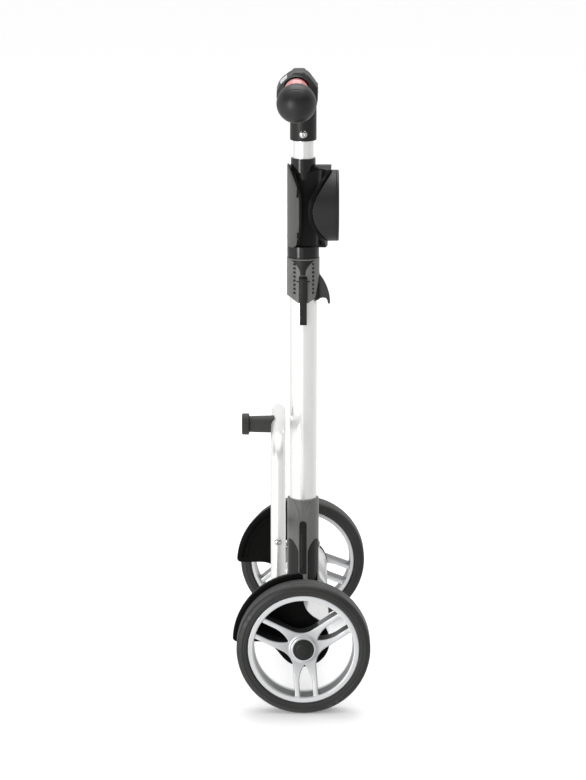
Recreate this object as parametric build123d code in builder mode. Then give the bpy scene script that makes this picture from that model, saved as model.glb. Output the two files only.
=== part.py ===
from build123d import *
import os
from math import sin, cos, radians, degrees, asin, acos, sqrt

# Folding two-wheeled trolley frame, standing upright and folded, millimetres.
# +Z is up, the wheel axis runs along Y, the load side faces -X and the user
# stands on the +X side. The origin is on the ground under the middle of the axle.

# ---------------- driving dimensions ----------------
axle_z = 90.0            # height of the wheel axis = tyre radius
tyre_r = 90.0
tyre_in, tyre_out = 202.0, 238.0        # |Y| of the tyre's two sides
rim_in, rim_out = 205.0, 235.0          # |Y| of the rim's two sides
rim_r = 75.1             # outer radius of the rim flanges
bed_r = 72.6             # tyre seat
ring_r = 67.8            # inner radius of the rim's front ring
spoke_half_out = 15.6    # outer edge of a double spoke, from the pair's centre line
spoke_half_in = 8.9      # inner edge of a double spoke
hub_r = 17.0
web_in = 210.0           # |Y| of the back of the spokes
journal_r = 6.0
bush_fit = 0.05
cap_r = 14.2

beam_r, beam_wall = 16.0, 2.5           # axle tube inside the pivot sleeves
beam_half = 188.0
sleeve_r, sleeve_wall = 35.0, 2.2       # silver pivot sleeves round the axle tube
sleeve_in, sleeve_out = 26.0, 187.5
drum_half = 24.0                        # half width of the socket's cross hub

guard_in, guard_out = 189.0, 199.0      # |Y| of the mudguards
guard_r = 96.0
guard_disc_r = 35.0
guard_fillet = 25.0

mast_r, mast_wall = 19.0, 1.8
mast_bottom, mast_top = 108.0, 576.0
socket_r = 22.0
socket_top = 240.0

collar_r = 22.5
collar_bottom, collar_top = 522.0, 581.0

head_low, head_high = 581.6, 718.6
inner_r, inner_wall = 14.0, 1.5
inner_bottom, inner_top = 330.0, 800.0
slide_fit = 0.05

shield_r = 60.0          # both curved panels of the head bend round a vertical axis
panel_low, panel_high = 597.0, 708.0
dial_z = 652.4
drum_r = 48.7
drum_face = 48.7         # X of the dial's outer face
dial_back = 45.0         # X of the back of the dial's flange

hub_half = 24.0
neck_x, neck_z = -9.4, 814.5     # where each neck's axis leaves the hub's side face
neck_tilt = 20.8                 # the necks droop by this angle
ball_s, ball_r = 36.4, 27.0      # centre of the ball along the neck's axis, and its radius
flat_s = 14.6                    # where the ball meets the neck

hoop_r, hoop_wall = 10.0, 2.0
hoop_x = -34.3
hoop_y = 105.0
hoop_z = 344.3
hoop_bend = 30.0
cross_z = 206.0
foot_tip = -84.9

tab_w, tab_low, tab_high = 10.0, 489.5, 554.5

os.makedirs("parts", exist_ok=True)


def save(piece, name):
    piece.part.label = name
    export_step(piece.part, "parts/" + name + ".step")


def across(y, x=0.0, z=axle_z):
    """Sketch plane facing -Y at the given Y, with local x = X and local y = Z."""
    return Plane(origin=(x, y, z), x_dir=(1, 0, 0), z_dir=(0, -1, 0))


def along_x(x, y=0.0, z=0.0):
    """Sketch plane facing +X, with local x = Y and local y = Z."""
    return Plane(origin=(x, y, z), x_dir=(0, 1, 0), z_dir=(1, 0, 0))


# profile plane for things turned about the wheel axis: local x = Y, local y = Z - axle
axle_profile = Plane(origin=(0, 0, axle_z), x_dir=(0, 1, 0), z_dir=(1, 0, 0))
axle_line = Axis((0, 0, axle_z), (0, 1, 0))


def mirrored(source):
    """The same piece on the other side of the trolley (+Y)."""
    with BuildPart() as other:
        mirror(source.part, about=Plane.XZ)
    return other


# ---------------- wheels ----------------
def make_rim(side, phase):
    """side -1 is the wheel at -Y; phase is the direction of one spoke pair."""
    with BuildPart() as rim:
        # barrel with two flanges and a drafted inner wall
        with BuildSketch(axle_profile):
            with BuildLine():
                Polyline(
                    (side * rim_out, ring_r), (side * rim_out, rim_r),
                    (side * (rim_out - 3), rim_r), (side * (rim_out - 3), bed_r),
                    (side * (rim_in + 3), bed_r), (side * (rim_in + 3), rim_r),
                    (side * rim_in, rim_r), (side * rim_in, ring_r + 2.2),
                    close=True)
            make_face()
        revolve(axis=axle_line)
        # spoke web: a disc with three large and three small windows
        start = side * (rim_out - 1.2)
        depth = (rim_out - 1.2) - web_in
        with BuildSketch(across(start)):
            Circle(ring_r + 1.0)
            for k in range(3):
                a = phase + 120.0 * k
                with BuildSketch(mode=Mode.PRIVATE) as small:
                    with BuildLine():
                        ThreePointArc((23.5, 0), (34, 6.2), (50, 8.7))
                        Line((50, 8.7), (ring_r - 0.4, spoke_half_in))
                        ThreePointArc((ring_r - 0.4, spoke_half_in), (ring_r, 0), (ring_r - 0.4, -spoke_half_in))
                        Line((ring_r - 0.4, -spoke_half_in), (50, -8.7))
                        ThreePointArc((50, -8.7), (34, -6.2), (23.5, 0))
                    make_face()
                add(small.sketch, rotation=a, mode=Mode.SUBTRACT)
                b = radians(60.0)
                # corner points of the large window, symmetric about the local x axis
                edge = sqrt(ring_r ** 2 - spoke_half_out ** 2)
                px = edge * cos(b) + spoke_half_out * sin(b)
                py = edge * sin(b) - spoke_half_out * cos(b)
                apex = spoke_half_out / sin(b)
                with BuildSketch(mode=Mode.PRIVATE) as large:
                    with BuildLine():
                        FilletPolyline((px, py), (apex, 0), (px, -py), radius=17.0)
                        ThreePointArc((px, -py), (ring_r, 0), (px, py))
                    make_face()
                add(large.sketch, rotation=a + 60.0, mode=Mode.SUBTRACT)
        extrude(amount=depth * side)
        # hub barrel
        with BuildSketch(across(side * (rim_out + 0.5))):
            Circle(hub_r)
        extrude(amount=(rim_out + 0.5 - rim_in + 1.0) * side)
        with BuildSketch(across(side * (rim_out + 0.5))):
            Circle(9.0)
        extrude(amount=(rim_out + 0.5 - rim_in + 1.0) * side, mode=Mode.SUBTRACT)
        with BuildSketch(across(side * (rim_out + 0.5))):
            Circle(12.0)
        extrude(amount=9.5 * side, mode=Mode.SUBTRACT)
    return rim


rim_left = make_rim(-1, -90.0)
rim_right = make_rim(1, -20.6)
save(rim_left, "rim_left")
save(rim_right, "rim_right")

with BuildPart() as tyre_left:
    with BuildSketch(axle_profile):
        with BuildLine():
            i, o = -tyre_in, -tyre_out
            Polyline((-(rim_in + 3), rim_r), (-(rim_in + 3), bed_r), (-(rim_out - 3), bed_r),
                     (-(rim_out - 3), rim_r), (o + 1.6, rim_r), (o, rim_r + 2.0), (o, tyre_r - 6.5))
            RadiusArc((o, tyre_r - 6.5), (o + 6.5, tyre_r), 6.5)
            Line((o + 6.5, tyre_r), (i - 6.5, tyre_r))
            RadiusArc((i - 6.5, tyre_r), (i, tyre_r - 6.5), 6.5)
            Polyline((i, tyre_r - 6.5), (i, rim_r + 2.0), (i - 1.6, rim_r), (-(rim_in + 3), rim_r))
        make_face()
    revolve(axis=axle_line)
tyre_right = mirrored(tyre_left)
save(tyre_left, "tyre_left")
save(tyre_right, "tyre_right")

# two flanged plastic bushes in each hub
with BuildPart() as wheel_bushes_left:
    with BuildSketch(axle_profile):
        with BuildLine():
            Polyline((-204.0, journal_r + bush_fit), (-204.0, 9.0), (-212.0, 9.0),
                     (-212.0, journal_r + bush_fit), close=True)
        make_face()
        with BuildLine():
            Polyline((-217.0, journal_r + bush_fit), (-217.0, 9.0), (-225.5, 9.0),
                     (-225.5, journal_r + bush_fit), close=True)
        make_face()
    revolve(axis=axle_line)
wheel_bushes_right = mirrored(wheel_bushes_left)
save(wheel_bushes_left, "wheel_bushes_left")
save(wheel_bushes_right, "wheel_bushes_right")

# domed hub cap with a spigot
with BuildPart() as hub_cap_left:
    with BuildSketch(axle_profile):
        with BuildLine():
            dome_c, dome_r = -241.5 + 50.0, 50.0
            dome_a = degrees(asin(12.8 / dome_r))
            Polyline((-232.0, 0), (-232.0, 12.0), (-235.5, 12.0), (-235.5, cap_r), (-238.4, cap_r),
                     (dome_c - dome_r * cos(radians(dome_a)), 12.8))
            CenterArc((dome_c, 0), dome_r, 180.0 - dome_a, dome_a)
            Line((-241.5, 0), (-232.0, 0))
        make_face()
    revolve(axis=axle_line)
hub_cap_right = mirrored(hub_cap_left)
save(hub_cap_left, "hub_cap_left")
save(hub_cap_right, "hub_cap_right")

# ---------------- axle, mudguards ----------------
with BuildPart() as axle_beam:
    with BuildSketch(across(beam_half)):
        Circle(beam_r)
        Circle(beam_r - beam_wall, mode=Mode.SUBTRACT)
    extrude(amount=2 * beam_half)
save(axle_beam, "axle_beam")

# stub axle: plug in the beam, journal for the wheel, groove for the clip
screw_pcd = 9.6
with BuildPart() as stub_axle_left:
    with BuildSketch(axle_profile):
        with BuildLine():
            Polyline((-150.0, 0), (-150.0, beam_r - beam_wall), (-189.0, beam_r - beam_wall),
                     (-189.0, journal_r), (-226.0, journal_r), (-226.0, 4.8), (-227.4, 4.8),
                     (-227.4, journal_r), (-230.0, journal_r), (-230.8, journal_r - 0.8), (-230.8, 0), close=True)
        make_face()
    revolve(axis=axle_line)
    with BuildSketch(across(-189.0)):
        with PolarLocations(screw_pcd, 3, start_angle=30):
            Circle(1.75)
    extrude(amount=-18.0, mode=Mode.SUBTRACT)
stub_axle_right = mirrored(stub_axle_left)
save(stub_axle_left, "stub_axle_left")
save(stub_axle_right, "stub_axle_right")

# retaining clips in the journals' grooves
with BuildPart() as axle_clips:
    for s in (-1, 1):
        with BuildSketch(across(s * 226.1)):
            Circle(8.4)
            Circle(4.8, mode=Mode.SUBTRACT)
            with Locations((0, -6)):
                Rectangle(5.0, 8.0, mode=Mode.SUBTRACT)
        extrude(amount=1.2 * s * -1 if s > 0 else 1.2)
save(axle_clips, "axle_clips")

lip_start = 94.4
low_a = degrees(asin(guard_fillet / (guard_disc_r + guard_fillet)))
with BuildPart() as mudguard_left:
    t = sqrt((guard_disc_r + guard_fillet) ** 2 - guard_fillet ** 2)
    with BuildSketch(across(-guard_out)) as plate:
        with BuildLine():
            Line((0, t), (0, guard_r))
            CenterArc((0, 0), guard_r, 90.0, 90.0)
            Line((-guard_r, 0), (-t, 0))
            CenterArc((-t, -guard_fillet), guard_fillet, low_a, 90.0 - low_a)
            CenterArc((0, 0), guard_disc_r, 180.0 + low_a, 270.0 - 2 * low_a)
            CenterArc((guard_fillet, t), guard_fillet, 180.0, 90.0 - low_a)
        make_face()
        # rounded outer corners
        fillet(plate.vertices().filter_by(
            lambda v: abs(sqrt(v.X ** 2 + v.Y ** 2) - guard_r) < 0.2), 6.0)
        Circle(journal_r, mode=Mode.SUBTRACT)
    extrude(amount=-(guard_out - 194.0))
    # deeper hub boss
    with BuildSketch(across(-194.0)):
        Circle(guard_disc_r)
        Circle(journal_r, mode=Mode.SUBTRACT)
    extrude(amount=-(194.0 - guard_in))
    # rounded lip and a second ridge on the inner side of the outer edge
    with BuildSketch(across(-194.0)):
        with BuildLine():
            CenterArc((0, 0), guard_r, lip_start, 90.0 - 2 * (lip_start - 90.0))
            CenterArc((0, 0), 87.0, lip_start, 90.0 - 2 * (lip_start - 90.0))
            for a in (lip_start, 270.0 - lip_start):
                Line((guard_r * cos(radians(a)), guard_r * sin(radians(a))), (87.0 * cos(radians(a)), 87.0 * sin(radians(a))))
        make_face()
    extrude(amount=-(194.0 - guard_in))
    with BuildSketch(across(-194.0)):
        with BuildLine():
            CenterArc((0, 0), 83.5, lip_start, 90.0 - 2 * (lip_start - 90.0))
            CenterArc((0, 0), 81.0, lip_start, 90.0 - 2 * (lip_start - 90.0))
            for a in (lip_start, 270.0 - lip_start):
                Line((83.5 * cos(radians(a)), 83.5 * sin(radians(a))), (81.0 * cos(radians(a)), 81.0 * sin(radians(a))))
        make_face()
    extrude(amount=-2.0)
    # countersunk screw holes in the hub boss
    with BuildSketch(across(-guard_out)):
        with PolarLocations(screw_pcd, 3, start_angle=30):
            Circle(1.75)
    extrude(amount=-12.0, mode=Mode.SUBTRACT)
    with BuildSketch(across(-guard_out)):
        with PolarLocations(screw_pcd, 3, start_angle=30):
            Circle(3.5)
    extrude(amount=-2.5, mode=Mode.SUBTRACT)
mudguard_right = mirrored(mudguard_left)
save(mudguard_left, "mudguard_left")
save(mudguard_right, "mudguard_right")

with BuildPart() as guard_screws_left:
    with BuildSketch(across(-guard_out)):
        with PolarLocations(screw_pcd, 3, start_angle=30):
            Circle(3.5)
    extrude(amount=-2.5)
    with BuildSketch(across(-guard_out + 2.5)):
        with PolarLocations(screw_pcd, 3, start_angle=30):
            Circle(1.75)
    extrude(amount=-22.0)
guard_screws_right = mirrored(guard_screws_left)
save(guard_screws_left, "guard_screws_left")
save(guard_screws_right, "guard_screws_right")

# ---------------- base socket, two shells ----------------
with BuildPart() as socket_body:
    with BuildSketch(Plane.XY.offset(axle_z)):
        Circle(socket_r)
    extrude(amount=socket_top - axle_z)
    with BuildSketch(across(drum_half)):
        Circle(34.0)
    extrude(amount=2 * drum_half)
    # blend between the cross hub and the upright sleeve
    with BuildSketch(Plane.XY.offset(116.0)):
        Ellipse(27.0, 23.8)
    with BuildSketch(Plane.XY.offset(142.0)):
        Circle(socket_r)
    loft()
    with BuildSketch(Plane.XY.offset(mast_bottom)):
        Circle(mast_r)
    extrude(amount=200.0, mode=Mode.SUBTRACT)
    with BuildSketch(across(drum_half + 1)):
        Circle(beam_r)
    extrude(amount=2 * drum_half + 2, mode=Mode.SUBTRACT)
    for s in (-1, 1):
        # long key slot with a round top
        with BuildSketch(across(s * 17.0, z=0)):
            with Locations((0, 170.0)):
                SlotOverall(80.0, 10.0, rotation=90)
        extrude(amount=-12.0 * s, mode=Mode.SUBTRACT)
        # funnel recess that opens to the rim above the slot
        with BuildSketch(across(s * 20.8, z=0)):
            with BuildLine():
                Line((-13.0, socket_top + 1), (13.0, socket_top + 1))
                ThreePointArc((13.0, socket_top + 1), (6.4, 229.0), (4.8, 206.0))
                Line((4.8, 206.0), (-4.8, 206.0))
                ThreePointArc((-4.8, 206.0), (-6.4, 229.0), (-13.0, socket_top + 1))
            make_face()
        extrude(amount=-6.0 * s, mode=Mode.SUBTRACT)
    # screw holes below the axle tube and one bolt hole through the mast
    for y in (-15.0, 15.0):
        with BuildSketch(along_x(-40.0, y, 66.5)):
            Circle(2.0)
        extrude(amount=80.0, mode=Mode.SUBTRACT)
        with BuildSketch(along_x(20.0, y, 66.5)):
            Circle(4.0)
        extrude(amount=20.0, mode=Mode.SUBTRACT)
    with BuildSketch(along_x(-40.0, 0, 172.0)):
        Circle(3.0)
    extrude(amount=80.0, mode=Mode.SUBTRACT)
with BuildPart() as socket_front:
    add(socket_body.part)
    split(bisect_by=Plane.YZ.offset(-0.1), keep=Keep.BOTTOM)
with BuildPart() as socket_rear:
    add(socket_body.part)
    split(bisect_by=Plane.YZ.offset(0.1), keep=Keep.TOP)
save(socket_front, "socket_front")
save(socket_rear, "socket_rear")

# dark key bars that show in the socket's slots
with BuildPart() as socket_keys:
    for s in (-1, 1):
        with BuildSketch(across(s * 19.2, z=0)):
            with Locations((0, 167.0)):
                SlotOverall(72.0, 9.6, rotation=90)
        extrude(amount=-1.6 * s)
save(socket_keys, "socket_keys")

with BuildPart() as socket_screws:
    for y in (-15.0, 15.0):
        with BuildSketch(along_x(-18.0, y, 66.5)):
            Circle(2.0)
        extrude(amount=38.0)
        with BuildSketch(along_x(20.0, y, 66.5)):
            Circle(4.0)
        extrude(amount=3.0)
save(socket_screws, "socket_screws")

with BuildPart() as mast_bolt:
    with BuildSketch(along_x(-22.0, 0, 172.0)):
        Circle(3.0)
    extrude(amount=44.0)
    with BuildSketch(along_x(22.0, 0, 172.0)):
        Circle(5.25)
    extrude(amount=2.6)
    with BuildSketch(along_x(-22.0, 0, 172.0)):
        RegularPolygon(5.0, 6)
    extrude(amount=-2.6)
save(mast_bolt, "mast_bolt")

# ---------------- mast ----------------
with BuildPart() as main_tube:
    with BuildSketch(Plane.XY.offset(mast_bottom)):
        Circle(mast_r)
        Circle(mast_r - mast_wall, mode=Mode.SUBTRACT)
    extrude(amount=mast_top - mast_bottom)
    with BuildSketch(along_x(-40.0, 0, 172.0)):
        Circle(3.0)
    extrude(amount=80.0, mode=Mode.SUBTRACT)
save(main_tube, "main_tube")

# ---------------- release collar, two shells ----------------
with BuildPart() as collar_body:
    with BuildSketch(Plane.XY.offset(collar_bottom)):
        Circle(collar_r)
    extrude(amount=collar_top - collar_bottom)
    # fixed hook on the user's side, its tip pointing down
    with BuildSketch(across(5.0, z=0)):
        with BuildLine():
            Line((20.0, 560.0), (22.3, 556.0))
            ThreePointArc((22.3, 556.0), (33.4, 540.0), (37.0, 523.0))
            ThreePointArc((37.0, 523.0), (37.2, 518.5), (36.2, 515.0))
            ThreePointArc((36.2, 515.0), (30.6, 521.6), (22.0, 524.0))
            Line((22.0, 524.0), (20.0, 524.0))
            Line((20.0, 524.0), (20.0, 560.0))
        make_face()
    extrude(amount=10.0)
    with BuildSketch(Plane.XY.offset(collar_bottom - 1)):
        Circle(mast_r)
    extrude(amount=70.0, mode=Mode.SUBTRACT)
    for s in (-1, 1):
        with BuildSketch(across(s * 18.6, z=0)):
            with BuildLine():
                Polyline((-5.4, collar_bottom - 1), (-5.4, 557.5), (5.4, 557.5), (5.4, collar_bottom - 1), close=True)
            make_face()
        extrude(amount=-8.0 * s, mode=Mode.SUBTRACT)
        with BuildSketch(across(s * 20.8, z=0)):
            with BuildLine():
                Line((-14.0, collar_top + 1), (14.0, collar_top + 1))
                ThreePointArc((14.0, collar_top + 1), (7.2, 572.0), (5.4, 557.0))
                Line((5.4, 557.0), (-5.4, 557.0))
                ThreePointArc((-5.4, 557.0), (-7.2, 572.0), (-14.0, collar_top + 1))
            make_face()
        extrude(amount=-6.0 * s, mode=Mode.SUBTRACT)
        # hinge pin holes
        with BuildSketch(along_x(-9.0, s * 20.9, 550.0)):
            Circle(1.0)
        extrude(amount=18.0, mode=Mode.SUBTRACT)
with BuildPart() as collar_front:
    add(collar_body.part)
    split(bisect_by=Plane.YZ.offset(-0.1), keep=Keep.BOTTOM)
with BuildPart() as collar_rear:
    add(collar_body.part)
    split(bisect_by=Plane.YZ.offset(0.1), keep=Keep.TOP)
save(collar_front, "collar_front")
save(collar_rear, "collar_rear")

with BuildPart() as tab_pins:
    for s in (-1, 1):
        with BuildSketch(along_x(-9.0, s * 20.9, 550.0)):
            Circle(1.0)
        extrude(amount=18.0)
save(tab_pins, "tab_pins")

# squeeze tab: flat bar with a knuckle round its pin
with BuildPart() as release_tab_left:
    with BuildSketch(across(-22.6, z=0)):
        with Locations((0, (tab_low + tab_high) / 2)):
            RectangleRounded(tab_w, tab_high - tab_low, 2.0)
    extrude(amount=3.2)
    with BuildSketch(along_x(-4.9, -20.9, 550.0)):
        Circle(1.75)
    extrude(amount=9.8)
    with BuildSketch(across(-21.6, z=0)):
        with Locations((0, 550.0)):
            Rectangle(9.8, 3.0)
    extrude(amount=1.2)
    with BuildSketch(along_x(-6.0, -20.9, 550.0)):
        Circle(1.0 + 0.05)
    extrude(amount=12.0, mode=Mode.SUBTRACT)
release_tab_right = mirrored(release_tab_left)
save(release_tab_left, "release_tab_left")
save(release_tab_right, "release_tab_right")

# leaf springs behind the tabs, lying on the mast
with BuildPart() as tab_springs:
    for s in (-1, 1):
        with BuildSketch(across(s * 19.05, z=0)):
            with Locations((0, 525.0)):
                Rectangle(6.0, 34.0)
        extrude(amount=-0.6 * s)
save(tab_springs, "tab_springs")

# ---------------- head ----------------
flange_axis = 36.0 - shield_r       # X of the rear panel's vertical axis
shield_axis = -22.0 + shield_r      # X of the front panel's vertical axis

with BuildPart() as head_body:
    with BuildSketch(Plane.XY.offset(head_low)):
        Circle(22.0)
    extrude(amount=panel_low - head_low)
    with BuildSketch(Plane.XY.offset(panel_low)):
        Rectangle(30.0, 34.0)
    extrude(amount=panel_high - panel_low - 4.0)
    with BuildSketch(Plane.XY.offset(panel_high - 6.0)):
        Circle(17.0)
    extrude(amount=head_high - panel_high + 6.0)
    # boss for the clamp nut
    with BuildSketch(along_x(14.0, 0, dial_z)):
        Circle(14.0)
    extrude(amount=16.5)
    # bore for the sliding tube
    with BuildSketch(Plane.XY.offset(head_low - 1)):
        Circle(inner_r + slide_fit)
    extrude(amount=head_high - head_low + 2, mode=Mode.SUBTRACT)
    # shoe pocket and nut seat
    with BuildSketch(along_x(0.0, 0, dial_z)):
        Rectangle(12.6, 20.6)
    extrude(amount=21.0, mode=Mode.SUBTRACT)
    with BuildSketch(along_x(21.0, 0, dial_z)):
        Circle(4.4)
    extrude(amount=12.0, mode=Mode.SUBTRACT)
    with BuildSketch(along_x(25.0, 0, dial_z)):
        RegularPolygon(8.0, 6)
    extrude(amount=12.0, mode=Mode.SUBTRACT)
    # pilot holes for the front panel's screws
    with BuildSketch(along_x(-16.0, 0, 650.5)):
        with GridLocations(18.0, 75.0, 2, 2):
            Circle(1.5)
    extrude(amount=3.4, mode=Mode.SUBTRACT)
save(head_body, "head_body")

# front shield: curved panel, oval seen from the front
with BuildPart() as front_shield:
    with BuildSketch(Plane(origin=(shield_axis, 0, panel_low), x_dir=(1, 0, 0), z_dir=(0, 0, 1))):
        Circle(shield_r)
        Circle(shield_r - 4.0, mode=Mode.SUBTRACT)
    extrude(amount=panel_high - panel_low)
    with BuildSketch(along_x(-40.0, 0, (panel_low + panel_high) / 2)):
        with BuildLine():
            Line((-14.0, -55.5), (14.0, -55.5))
            ThreePointArc((14.0, -55.5), (38.5, 0), (14.0, 55.5))
            Line((14.0, 55.5), (-14.0, 55.5))
            ThreePointArc((-14.0, 55.5), (-38.5, 0), (-14.0, -55.5))
        make_face()
    extrude(amount=50.0, mode=Mode.INTERSECT)
    # pad between the panel and the head body
    with BuildSketch(Plane.XY.offset(panel_low + 8)):
        with Locations((-16.6, 0)):
            Rectangle(3.2, 26.0)
    extrude(amount=panel_high - panel_low - 16)
    with BuildSketch(along_x(-30.0, 0, 650.5)):
        with GridLocations(18.0, 75.0, 2, 2):
            Circle(1.5)
    extrude(amount=20.0, mode=Mode.SUBTRACT)
    with BuildSketch(along_x(-30.0, 0, 650.5)):
        with GridLocations(18.0, 75.0, 2, 2):
            Circle(2.6)
    extrude(amount=10.2, mode=Mode.SUBTRACT)
save(front_shield, "front_shield")

# rear panel: curved the other way, carries the drum
with BuildPart() as rear_panel:
    with BuildSketch(Plane(origin=(flange_axis, 0, panel_low), x_dir=(1, 0, 0), z_dir=(0, 0, 1))):
        Circle(shield_r)
        Circle(shield_r - 4.0, mode=Mode.SUBTRACT)
    extrude(amount=panel_high - panel_low)
    with BuildSketch(along_x(0.0, 0, (panel_low + panel_high) / 2)):
        with BuildLine():
            Line((-16.0, -55.5), (16.0, -55.5))
            ThreePointArc((16.0, -55.5), (49.5, 0), (16.0, 55.5))
            Line((16.0, 55.5), (-16.0, 55.5))
            ThreePointArc((-16.0, 55.5), (-49.5, 0), (-16.0, -55.5))
        make_face()
    extrude(amount=60.0, mode=Mode.INTERSECT)
    with BuildSketch(along_x(20.0, 0, dial_z)):
        Circle(14.0)
    extrude(amount=30.0, mode=Mode.SUBTRACT)
    # bridges from the panel to the head body, above and below the shoe
    for z0, z1 in ((panel_low + 2, panel_low + 30), (panel_high - 32, panel_high - 6)):
        with BuildSketch(Plane.XY.offset(z0)):
            with Locations((24.0, 0)):
                Rectangle(18.0, 20.0)
        extrude(amount=z1 - z0)
save(rear_panel, "rear_panel")

# drum housing: short cylinder that stands on the curved panel
with BuildPart() as drum_housing:
    with BuildSketch(along_x(5.0, 0, dial_z)):
        Circle(drum_r)
        Circle(drum_r - 2.6, mode=Mode.SUBTRACT)
    extrude(amount=dial_back - 0.4 - 5.0)
    with BuildSketch(Plane(origin=(flange_axis, 0, panel_low - 20), x_dir=(1, 0, 0), z_dir=(0, 0, 1))):
        Circle(shield_r)
    extrude(amount=150.0, mode=Mode.SUBTRACT)
save(drum_housing, "drum_housing")

# twist dial with two finger pockets, its spindle, and the shoe it drives
with BuildPart() as clamp_dial:
    with BuildSketch(along_x(dial_back, 0, dial_z)):
        Circle(drum_r)
    extrude(amount=drum_face - dial_back)
    with BuildSketch(along_x(38.0, 0, dial_z)):
        Circle(44.0)
    extrude(amount=dial_back - 38.0)
    with BuildSketch(along_x(drum_face, 0, dial_z)):
        for s in (-1, 1):
            with BuildLine():
                ThreePointArc((s * 8.0, -34.0), (s * 35.0, 0), (s * 8.0, 34.0))
                Line((s * 8.0, 34.0), (s * 8.0, -34.0))
            make_face()
    extrude(amount=-8.0, mode=Mode.SUBTRACT)
    with BuildSketch(along_x(38.0, 0, dial_z)):
        Circle(4.0)
    extrude(amount=6.0, mode=Mode.SUBTRACT)
    fillet(clamp_dial.edges().filter_by(GeomType.CIRCLE).sort_by(Axis.X)[-1], 1.2)
save(clamp_dial, "clamp_dial")

with BuildPart() as clamp_spindle:
    with BuildSketch(along_x(22.6, 0, dial_z)):
        Circle(4.0)
    extrude(amount=44.0 - 22.6)
save(clamp_spindle, "clamp_spindle")

with BuildPart() as clamp_nut:
    with BuildSketch(along_x(25.0, 0, dial_z)):
        RegularPolygon(7.9, 6)
        Circle(4.05, mode=Mode.SUBTRACT)
    extrude(amount=5.5)
save(clamp_nut, "clamp_nut")

with BuildPart() as brake_shoe:
    with BuildSketch(along_x(12.0, 0, dial_z)):
        Rectangle(12.0, 20.0)
    extrude(amount=7.5)
    with BuildSketch(Plane.XY.offset(dial_z - 12)):
        Circle(inner_r + 0.3)
    extrude(amount=24.0, mode=Mode.SUBTRACT)
save(brake_shoe, "brake_shoe")

with BuildPart() as head_screws:
    with BuildSketch(along_x(-12.6, 0, 650.5)):
        with GridLocations(18.0, 75.0, 2, 2):
            Circle(1.5)
    extrude(amount=-7.2)
    with BuildSketch(along_x(-19.8, 0, 650.5)):
        with GridLocations(18.0, 75.0, 2, 2):
            Circle(2.6)
    extrude(amount=-1.3)
save(head_screws, "head_screws")

# ---------------- telescoping tube and handle ----------------
with BuildPart() as inner_tube:
    with BuildSketch(Plane.XY.offset(inner_bottom)):
        Circle(inner_r)
        Circle(inner_r - inner_wall, mode=Mode.SUBTRACT)
    extrude(amount=inner_top - inner_bottom)
    with BuildSketch(across(0.0, z=753.0)):
        Circle(2.5)
    extrude(amount=20.0, mode=Mode.SUBTRACT)
save(inner_tube, "inner_tube")

with BuildPart() as tube_end_bush:
    with BuildSketch(Plane.XY.offset(inner_bottom - 6.0)):
        Circle(mast_r - mast_wall - slide_fit)
    extrude(amount=6.0)
    with BuildSketch(Plane.XY.offset(inner_bottom)):
        Circle(inner_r - inner_wall)
    extrude(amount=20.0)
save(tube_end_bush, "tube_end_bush")

with BuildPart() as handle_stem:
    with BuildSketch(Plane.XY.offset(743.0)):
        Circle(18.0)
    extrude(amount=52.0)
    with BuildSketch(Plane.XY.offset(742.0)):
        Circle(inner_r)
    extrude(amount=60.0, mode=Mode.SUBTRACT)
    with BuildSketch(across(0.0, z=753.0)):
        Circle(2.5)
    extrude(amount=20.0, mode=Mode.SUBTRACT)
save(handle_stem, "handle_stem")

neck_dir = (0, -cos(radians(neck_tilt)), -sin(radians(neck_tilt)))


def neck_plane(side, s):
    """Sketch plane across a neck's axis, at the distance s from the hub's side face."""
    d = (0, side * cos(radians(neck_tilt)), -sin(radians(neck_tilt)))
    return Plane(origin=(neck_x, side * hub_half + s * d[1], neck_z + s * d[2]), x_dir=(1, 0, 0), z_dir=d)


with BuildPart() as handle_hub:
    with BuildSketch(across(-hub_half, z=0)):
        with BuildLine():
            Polyline((-18.0, 795.0), (-27.0, 797.0), (-34.0, 800.0), (-36.4, 804.5), (-36.0, 811.0),
                     (-31.5, 821.0), (-21.0, 830.5), (-12.5, 838.4), (1.8, 838.4), (9.2, 831.5),
                     (17.3, 821.1), (20.0, 816.0), (20.0, 800.0), (18.0, 795.0), close=True)
        make_face()
    extrude(amount=-2 * hub_half)
    # sockets of the two necks and pilot holes of their studs
    for side in (-1, 1):
        with BuildSketch(neck_plane(side, -9.0)):
            Circle(17.0)
        extrude(amount=40.0, mode=Mode.SUBTRACT)
        with BuildSketch(neck_plane(side, -14.0)):
            Circle(6.0)
        extrude(amount=10.0, mode=Mode.SUBTRACT)
    with BuildSketch(Plane.XY.offset(790.0)):
        Circle(inner_r)
    extrude(amount=10.0, mode=Mode.SUBTRACT)
    # seat of the front insert
    slope = Plane(origin=(-26.25, 0, 825.75), x_dir=(0, 1, 0), z_dir=(-9.5, 0, 10.5))
    with BuildSketch(slope):
        RectangleRounded(34.0, 10.0, 2.5)
    extrude(amount=-1.6, mode=Mode.SUBTRACT)
save(handle_hub, "handle_hub")

with BuildPart() as hub_insert:
    slope = Plane(origin=(-26.25, 0, 825.75), x_dir=(0, 1, 0), z_dir=(-9.5, 0, 10.5))
    with BuildSketch(slope):
        RectangleRounded(34.0, 10.0, 2.5)
    extrude(amount=-1.6)
save(hub_insert, "hub_insert")

with BuildPart() as stem_screw:
    with BuildSketch(across(-12.0, z=753.0)):
        Circle(2.5)
    extrude(amount=6.0)
    with BuildSketch(across(-18.0, z=753.0)):
        Circle(5.5)
    extrude(amount=2.2)
save(stem_screw, "stem_screw")

# steel studs that carry the balls
with BuildPart() as grip_stud_left:
    with BuildSketch(neck_plane(-1, -14.0)):
        Circle(6.0)
    extrude(amount=56.0)
save(grip_stud_left, "grip_stud_left")
save(mirrored(grip_stud_left), "grip_stud_right")

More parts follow.
